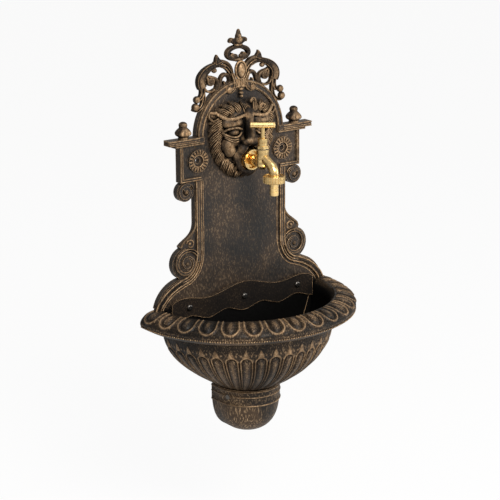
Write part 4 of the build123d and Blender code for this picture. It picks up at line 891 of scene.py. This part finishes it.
for x, out, z, radius in ((15.5, 22, 80, 4.6), (28.5, 27, 71.5, 4.4)):
    curl = spiral(x, z, radius, 1.2, 200, -330, 1.6, 1, 14)
    add_mesh(mask_mesh, swept(curl, ROUND, steps=3), facing(out))
print("mask faces", len(mask_mesh.faces))

# %% Bronze powder on the face
RUBBED = [((5, 62.5), (24, 59), 3.8, 0.95), ((24, 59), (42, 62), 3.8, 1), ((42, 62), (57, 68.6), 3.4, 1),
          ((20, 51.5), (37, 50), 5.5, 0.7), ((21, 38.5), (24, 38.5), 4, 0.6), ((32, 26), (28, 9), 8.5, 0.75),
          ((0, 60), (0, 34), 3.2, 0.45), ((-8, 27), (8, 27), 3.5, 0.55)]
FRONT_OUT = 14
powder_layer = mask_mesh.verts.layers.float.new("rub_and_shade")
mask_mesh.normal_update()
for vertex in mask_mesh.verts:
    if vertex.normal.y > -0.25 or -vertex.co.y < FRONT_OUT:
        continue
    spot = Vector((abs(vertex.co.x), vertex.co.z))
    for first, second, radius, most in RUBBED:
        start, along = Vector(first), Vector(second) - Vector(first)
        share = min(1, max(0, (spot - start).dot(along) / along.length_squared))
        apart = (spot - start - along * share).length / radius
        vertex[powder_layer] = max(vertex[powder_layer], most * exp(-apart ** 2))
casting(mask_mesh, "lion_mask_casting", cast_paint, replaced=["lion_mask"], wear=(0.11, 0.42),
        crease_shade=1)

# %% [markdown]
# ## Basin
# The basin is one casting: a half-round bowl with tongues running down to the foot, a leafy crown on each, and a
# broad rolled rim with eggs in raised loops and darts between. Modelling every egg apart would leave seams, and a
# cast surface has none. So the whole skin starts as one flat grid: each row goes to its place round the half-round
# plan, and the relief is added along the surface's own normal from a formula for the loop, the egg and the tongue.
# The same formula says where the bronze powder catches, and where the grooves without powder get painted shade.

# %% Plan and profile
BOWL_TOP_Z = -250
BOWL_FOOT_Z = -350
BOWL_FLOOR_Z = -343
BOWL_WALL = 6
STRAIGHT = 22
RIM_HALF, RIM_DEPTH, RIM_STRAIGHT = 175, 180, 10
RIM_EDGE_Z = -231.5
RIM_LIP = 31
RIM_RISE = 16
UNDERSIDE = [(34, -249.2), (24, -247.6), (14, -245.5), (7, -241.5), (2.5, -238), (1, -236), (0, -232.5)]
INSIDE = [(139, 144.5, 16, -218), (134, 142, 20, -221), (130.5, 140.3, STRAIGHT, -224.5), (130, 140, STRAIGHT, -232),
          (130, 140, STRAIGHT, -250)]
COLUMNS = 421


def run_of(x, y):
    """Distances along a line of points."""
    return np.concatenate(([0], np.cumsum(np.hypot(np.diff(x), np.diff(y)))))


def half_round(half, depth, straight):
    """Points evenly spaced round a half-round plan, from its left end at the wall to its right end, and its length."""
    angle = np.linspace(pi, 2 * pi, 721)
    x = np.concatenate(([-half], half * np.cos(angle), [half]))
    out = np.concatenate(([0], straight - (depth - straight) * np.sin(angle), [0]))
    run = run_of(x, out)
    steps = np.linspace(0, run[-1], COLUMNS)
    return np.interp(steps, run, x), np.interp(steps, run, out), run[-1]


def bowl_row(z, inset=0):
    drop = (BOWL_TOP_Z - z) / (BOWL_TOP_Z - BOWL_FOOT_Z)
    return (45 + 91 * (1 - drop ** 1.9) - inset, 69 + 77 * (1 - drop ** 2.6) - inset, STRAIGHT, z)


def rim_row(inset, z):
    return (RIM_HALF - inset, RIM_DEPTH - inset, RIM_STRAIGHT, z)


def even_rows(rows, count):
    """A number of rows evenly spaced along a profile drawn by a few, and their distances along it."""
    rows = np.array(rows)
    run = run_of(rows[:, 0], rows[:, 3])
    steps = np.linspace(0, run[-1], count)
    return np.stack([np.interp(steps, run, column) for column in rows.T], axis=1), steps


bowl_rows, bowl_up = even_rows([bowl_row(z) for z in np.linspace(BOWL_FOOT_Z, BOWL_TOP_Z, 101)], 104)
under_rows, _ = even_rows([bowl_row(BOWL_TOP_Z)] + [rim_row(*row) for row in UNDERSIDE], 20)
rim_rows, rim_in = even_rows([rim_row(RIM_LIP * (1 - cos(turn)), RIM_EDGE_Z + RIM_RISE * sin(turn))
                              for turn in np.linspace(0, pi / 2, 91)], 34)
wall_rows = [bowl_row(z, BOWL_WALL) for z in np.linspace(-252, BOWL_FLOOR_Z, 20)]
inner_rows, _ = even_rows([rim_row(RIM_LIP + 1.2, -215.3), rim_row(RIM_LIP + 2.6, -216.2)] + INSIDE + wall_rows, 30)
profile = np.concatenate((bowl_rows[:-1], under_rows, rim_rows[1:], inner_rows))
print("basin rows", len(profile), "rim arc", round(rim_in[-1], 1), "bowl arc", round(bowl_up[-1], 1))

# %% Relief of tongues, crowns, eggs and darts
TONGUES = 20
EGGS = 16
TONGUE_ARCH_Z = -280.5
# depths of painted shade in the rim's and the bowl's grooves without powder
RIM_SHADE_DEPTH = 0.75
BOWL_SHADE_DEPTH = 0.45
# painted shade on the basin's inside and the front of its back wall: near-black
INNER_PAINTED_SHADE = -1


def ridge(distance, width):
    return np.exp(-(distance / width) ** 2)


def ball_top(distance2):
    return np.sqrt(np.maximum(0, 1 - distance2))


def repeat(share, count, length):
    """Distance from the middle of the nearest repeat, and half the pitch."""
    pitch = length / count
    return ((share * count) % 1 - 0.5) * pitch, pitch / 2


def tongue_relief(share, up, length):
    """Height and rub of the bowl's tongues at a distance up from the foot."""
    across, half = repeat(share, TONGUES, length)
    above = up - np.interp(TONGUE_ARCH_Z, bowl_rows[:, 3], bowl_up)
    near = np.hypot(across, max(above, 0)) / half
    size = min(1, half / 11) * smooth_step(1, 9, up)
    height = 1.5 * ridge(near - 0.80, 0.10) - 0.7 * ridge(near - 0.60, 0.09) + 2 * ball_top((near / 0.50) ** 2)
    worn = 0.95 * ridge(near - 0.80, 0.11) + 0.55 * ridge(near, 0.30)
    if above < 0:
        height -= 0.9 * ridge(near - 1, 0.12)
    lift = (above - 0.86 * half) / 13
    if -0.1 < lift < 1:
        leaf = 6.4 * (1 - max(lift, 0)) ** 0.75
        crown = 1.4 * np.maximum(0, 1 - (across / max(leaf, 0.3)) ** 2) - 0.7 * ridge(across, 0.8)
        crown += 0.9 * ridge(np.abs(across) - 7.6, 2) * ridge(lift - 0.28, 0.22)
        height = np.maximum(height, crown)
        worn = np.maximum(worn, 0.8 * smooth_step(0.15, 1, crown))
    return height * size, worn * size


def egg_relief(share, inward, length):
    """Height and rub of the rim's eggs at a distance in from its outer edge."""
    across, half = repeat(share, EGGS, length)
    deep = inward / rim_in[-1]
    near = np.hypot(across, min(deep - 0.47, 0) * rim_in[-1]) / half
    egg = ball_top((across / (0.40 * half)) ** 2 + ((deep - 0.58) / 0.40) ** 2)
    dart_open = smooth_step(0.22, 0.5, deep)
    dart = 1.3 * ridge(half - np.abs(across), 0.8 + 1.4 * dart_open) * dart_open
    height = 2 * ridge(near - 0.76, 0.10) - 0.9 * ridge(near - 0.54, 0.10) - 0.5 * ridge(near - 0.96, 0.08)
    height += 2.6 * egg + dart
    worn = 0.85 * ridge(near - 0.76, 0.10) + 0.6 * np.maximum(egg - 0.55, 0) / 0.45 + 0.3 * dart
    fade = smooth_step(0, 2.5, inward) * (1 - smooth_step(0.94, 1, deep))
    return height * fade, worn * fade


def with_painted_shade(worn, shade_depth):
    """Rub that goes below zero by an amount where there is none, as painted shade in the grooves without powder."""
    return (1 + shade_depth) * np.minimum(worn, 1) - shade_depth


rows = len(profile)
place = np.zeros((rows, COLUMNS, 3))
height, powder_and_shade = np.zeros((2, rows, COLUMNS))
share = np.linspace(0, 1, COLUMNS)
bowl_end = len(bowl_rows) - 1
rim_start = bowl_end + len(under_rows)
rim_end = rim_start + len(rim_rows) - 1
for row, (half, depth, straight, z) in enumerate(profile):
    x, out, length = half_round(half, depth, straight)
    place[row] = np.stack((x, -out, np.full(COLUMNS, z)), axis=1)
    if row < bowl_end:
        height[row], powder_and_shade[row] = tongue_relief(share, bowl_up[row], length)
    elif rim_start <= row < rim_end:
        height[row], powder_and_shade[row] = egg_relief(share, rim_in[row - rim_start + 1], length)
normal = np.cross(np.gradient(place, axis=1), np.gradient(place, axis=0))
normal /= np.maximum(np.linalg.norm(normal, axis=2, keepdims=True), 1e-9)
# painted shade: where no powder catches, rub goes below zero, so the grooves go darker than the black paint, with less
# speckle
powder_and_shade[:bowl_end] = with_painted_shade(powder_and_shade[:bowl_end], BOWL_SHADE_DEPTH)
powder_and_shade[rim_start:] = with_painted_shade(powder_and_shade[rim_start:], RIM_SHADE_DEPTH)
# painted shade: the basin's inside rows go to near-black
powder_and_shade[rim_end + 2:] = INNER_PAINTED_SHADE
place += normal * height[..., None]
place[:, :, 1] = np.minimum(place[:, :, 1], 0)
print("relief from", round(height.min(), 2), "to", round(height.max(), 2), "mm")

# %% Basin skin, back wall and beads
WAVE = [(130, -208), (113, -201.4), (92, -203.2), (70, -206.4), (48, -204), (24, -196.6), (0, -193.8)]
WALL_SIDE = [(-133, -226), (-133, -250)] + [(3 - bowl_row(z)[0], z) for z in range(-260, -342, -10)] + [(-44, -344)]
WALL_OUT = 10
WALL_THICK = 5
EDGE_BEADS = 150
EDGE_BEAD_Z = -236.6
COLLAR_Z = -349
COLLAR_DROP = 22
basin_mesh = bmesh.new()
rub_and_shade_layer = basin_mesh.verts.layers.float.new("rub_and_shade")


def of_kind(result, kind):
    return [item for item in result["geom"] if isinstance(item, kind)]


bmesh.ops.create_grid(basin_mesh, x_segments=COLUMNS - 1, y_segments=rows - 1, size=1)
flat = np.array([vertex.co[:2] for vertex in basin_mesh.verts])
column_of, row_of = np.rint((flat + 1) / 2 * (COLUMNS - 1, rows - 1)).astype(int).T
skin = {}
for vertex, column, row in zip(basin_mesh.verts, column_of, row_of):
    vertex.co = place[row, column]
    vertex[rub_and_shade_layer] = min(1, powder_and_shade[row, column])
    skin[(row, column)] = vertex
basin_mesh.faces.new([skin[(0, column)] for column in range(COLUMNS)])
basin_mesh.faces.new([skin[(rows - 1, column)] for column in reversed(range(COLUMNS))])
bmesh.ops.holes_fill(basin_mesh, edges=[edge for edge in basin_mesh.edges if edge.is_boundary], sides=0)
print("open edges left", sum(edge.is_boundary for edge in basin_mesh.edges))

wave_line = WAVE + [(-x, z) for x, z in reversed(WAVE[:-1])]
wall_line = [(138, -216)] + [(x, z - 1.5) for x, z in wave_line] + [(-138, -216)]
wall_line += WALL_SIDE + [(-x, z) for x, z in reversed(WALL_SIDE)]
wall_face = basin_mesh.faces.new([basin_mesh.verts.new((x, -WALL_OUT, z)) for x, z in wall_line])
grown = bmesh.ops.extrude_face_region(basin_mesh, geom=[wall_face], use_keep_orig=True)
wall_front = of_kind(grown, bmesh.types.BMVert)
bmesh.ops.translate(basin_mesh, vec=(0, -WALL_THICK, 0), verts=wall_front)
# painted shade: the front of the back wall, inside the bowl, goes to near-black
for vertex in wall_front:
    vertex[rub_and_shade_layer] = INNER_PAINTED_SHADE

edge_x, edge_out, _ = half_round(RIM_HALF - 1, RIM_DEPTH - 1, RIM_STRAIGHT)
for index in range(EDGE_BEADS):
    step = (index + 0.5) / EDGE_BEADS * (COLUMNS - 1)
    x, out = (np.interp(step, np.arange(COLUMNS), line) for line in (edge_x, edge_out))
    bead = bmesh.ops.create_icosphere(basin_mesh, subdivisions=1, radius=1.35,
                                      matrix=Matrix.Translation((x, -out, EDGE_BEAD_Z)))
    for vertex in bead["verts"]:
        vertex[rub_and_shade_layer] = 1

x, out, _ = half_round(43.4, 66.4, STRAIGHT)
collar_verts = [basin_mesh.verts.new((a, -b, COLLAR_Z)) for a, b in zip(x[::8], out[::8])]
collar = [basin_mesh.edges.new(pair) for pair in zip(collar_verts, collar_verts[1:])]
grown = bmesh.ops.extrude_edge_only(basin_mesh, edges=collar)
bmesh.ops.translate(basin_mesh, vec=(0, 0, -COLLAR_DROP), verts=of_kind(grown, bmesh.types.BMVert))
bmesh.ops.solidify(basin_mesh, geom=of_kind(grown, bmesh.types.BMFace), thickness=4)
casting(basin_mesh, "basin_casting", bowl_paint, replaced=["basin"])

# %% [markdown]
# ## Strip and cup
# The wavy strip keeps its CAD solid. Its edges are rolled on the real one, so a bead follows each wave. The pendant
# cup keeps its solid too, and gets the raised collar with three hoops that the photograph shows under the bowl. A
# thin seam marks where the back wall meets the bowl inside.

# %% Edge beads of the strip and collar of the cup
STRIP_LOW_Z = -233.5
CUP_TOP_Z = -350.6
COLLAR = section_curve([(-1.4, 0), (0.2, 0), (0.9, -0.9), (0.9, -2.4), (0.35, -3.2), (0.35, -8.6), (0.9, -9.4),
                        (0.9, -10.8), (0.4, -11.6), (0.4, -21.6), (1, -22.6), (1, -24), (0.2, -25.2), (-1.4, -25.2)])
SEAM = [(130, -219), (124.5, -240), (113, -273)]
strip_trim = bmesh.new()
band(strip_trim, [(x, z - 0.9, 1.5) for x, z in wave_line], ROUND, 16.4, (1,), steps=8)
low_edge = [(130 * s, STRIP_LOW_Z - 4 * cos(4 * pi * s), 0.8) for s in np.linspace(1, -1, 33)]
band(strip_trim, low_edge, ROUND, 16.6, (1,), steps=4)
casting(strip_trim, "strip_edge", cast_paint, wear=(0.25, 0.95))


def cup_row(z):
    drop = 0.985 * (BOWL_FOOT_Z - z) / 74.5
    draw = (1 - drop ** 3.2) ** (1 / 2.4)
    return 49.5 * draw, STRAIGHT + 52 * draw


def cup_ring(section, drop, half, grow_x=1, grow_out=1):
    """A ring round the cup at a drop below its top."""
    x, out, _ = half_round(*cup_row(-362), STRAIGHT)
    route = [(grow_x * a, -grow_out * b, half) for a, b in zip(x[::4], out[::4])]
    add_mesh(cup_trim, swept(route, section, steps=1), Matrix.Translation((0, 0, CUP_TOP_Z - drop)))


cup_trim = bmesh.new()
cup_ring(COLLAR, 0, 1)
for drop, half in ((1.6, 0.8), (10.1, 0.8), (23.3, 0.9)):
    cup_ring(TUBE, drop, half, 1.011, 1.008)
casting(cup_trim, "cup_collar", bowl_paint, wear=(0.10, 0.4))

wall_seam = bmesh.new()
band(wall_seam, even(SEAM, 0.5), TUBE, 15.1)
casting(wall_seam, "wall_seam", cast_paint, wear=(0.10, 0.4))

# %% Finish
for holder in SECTIONS:
    bpy.data.objects.remove(holder)
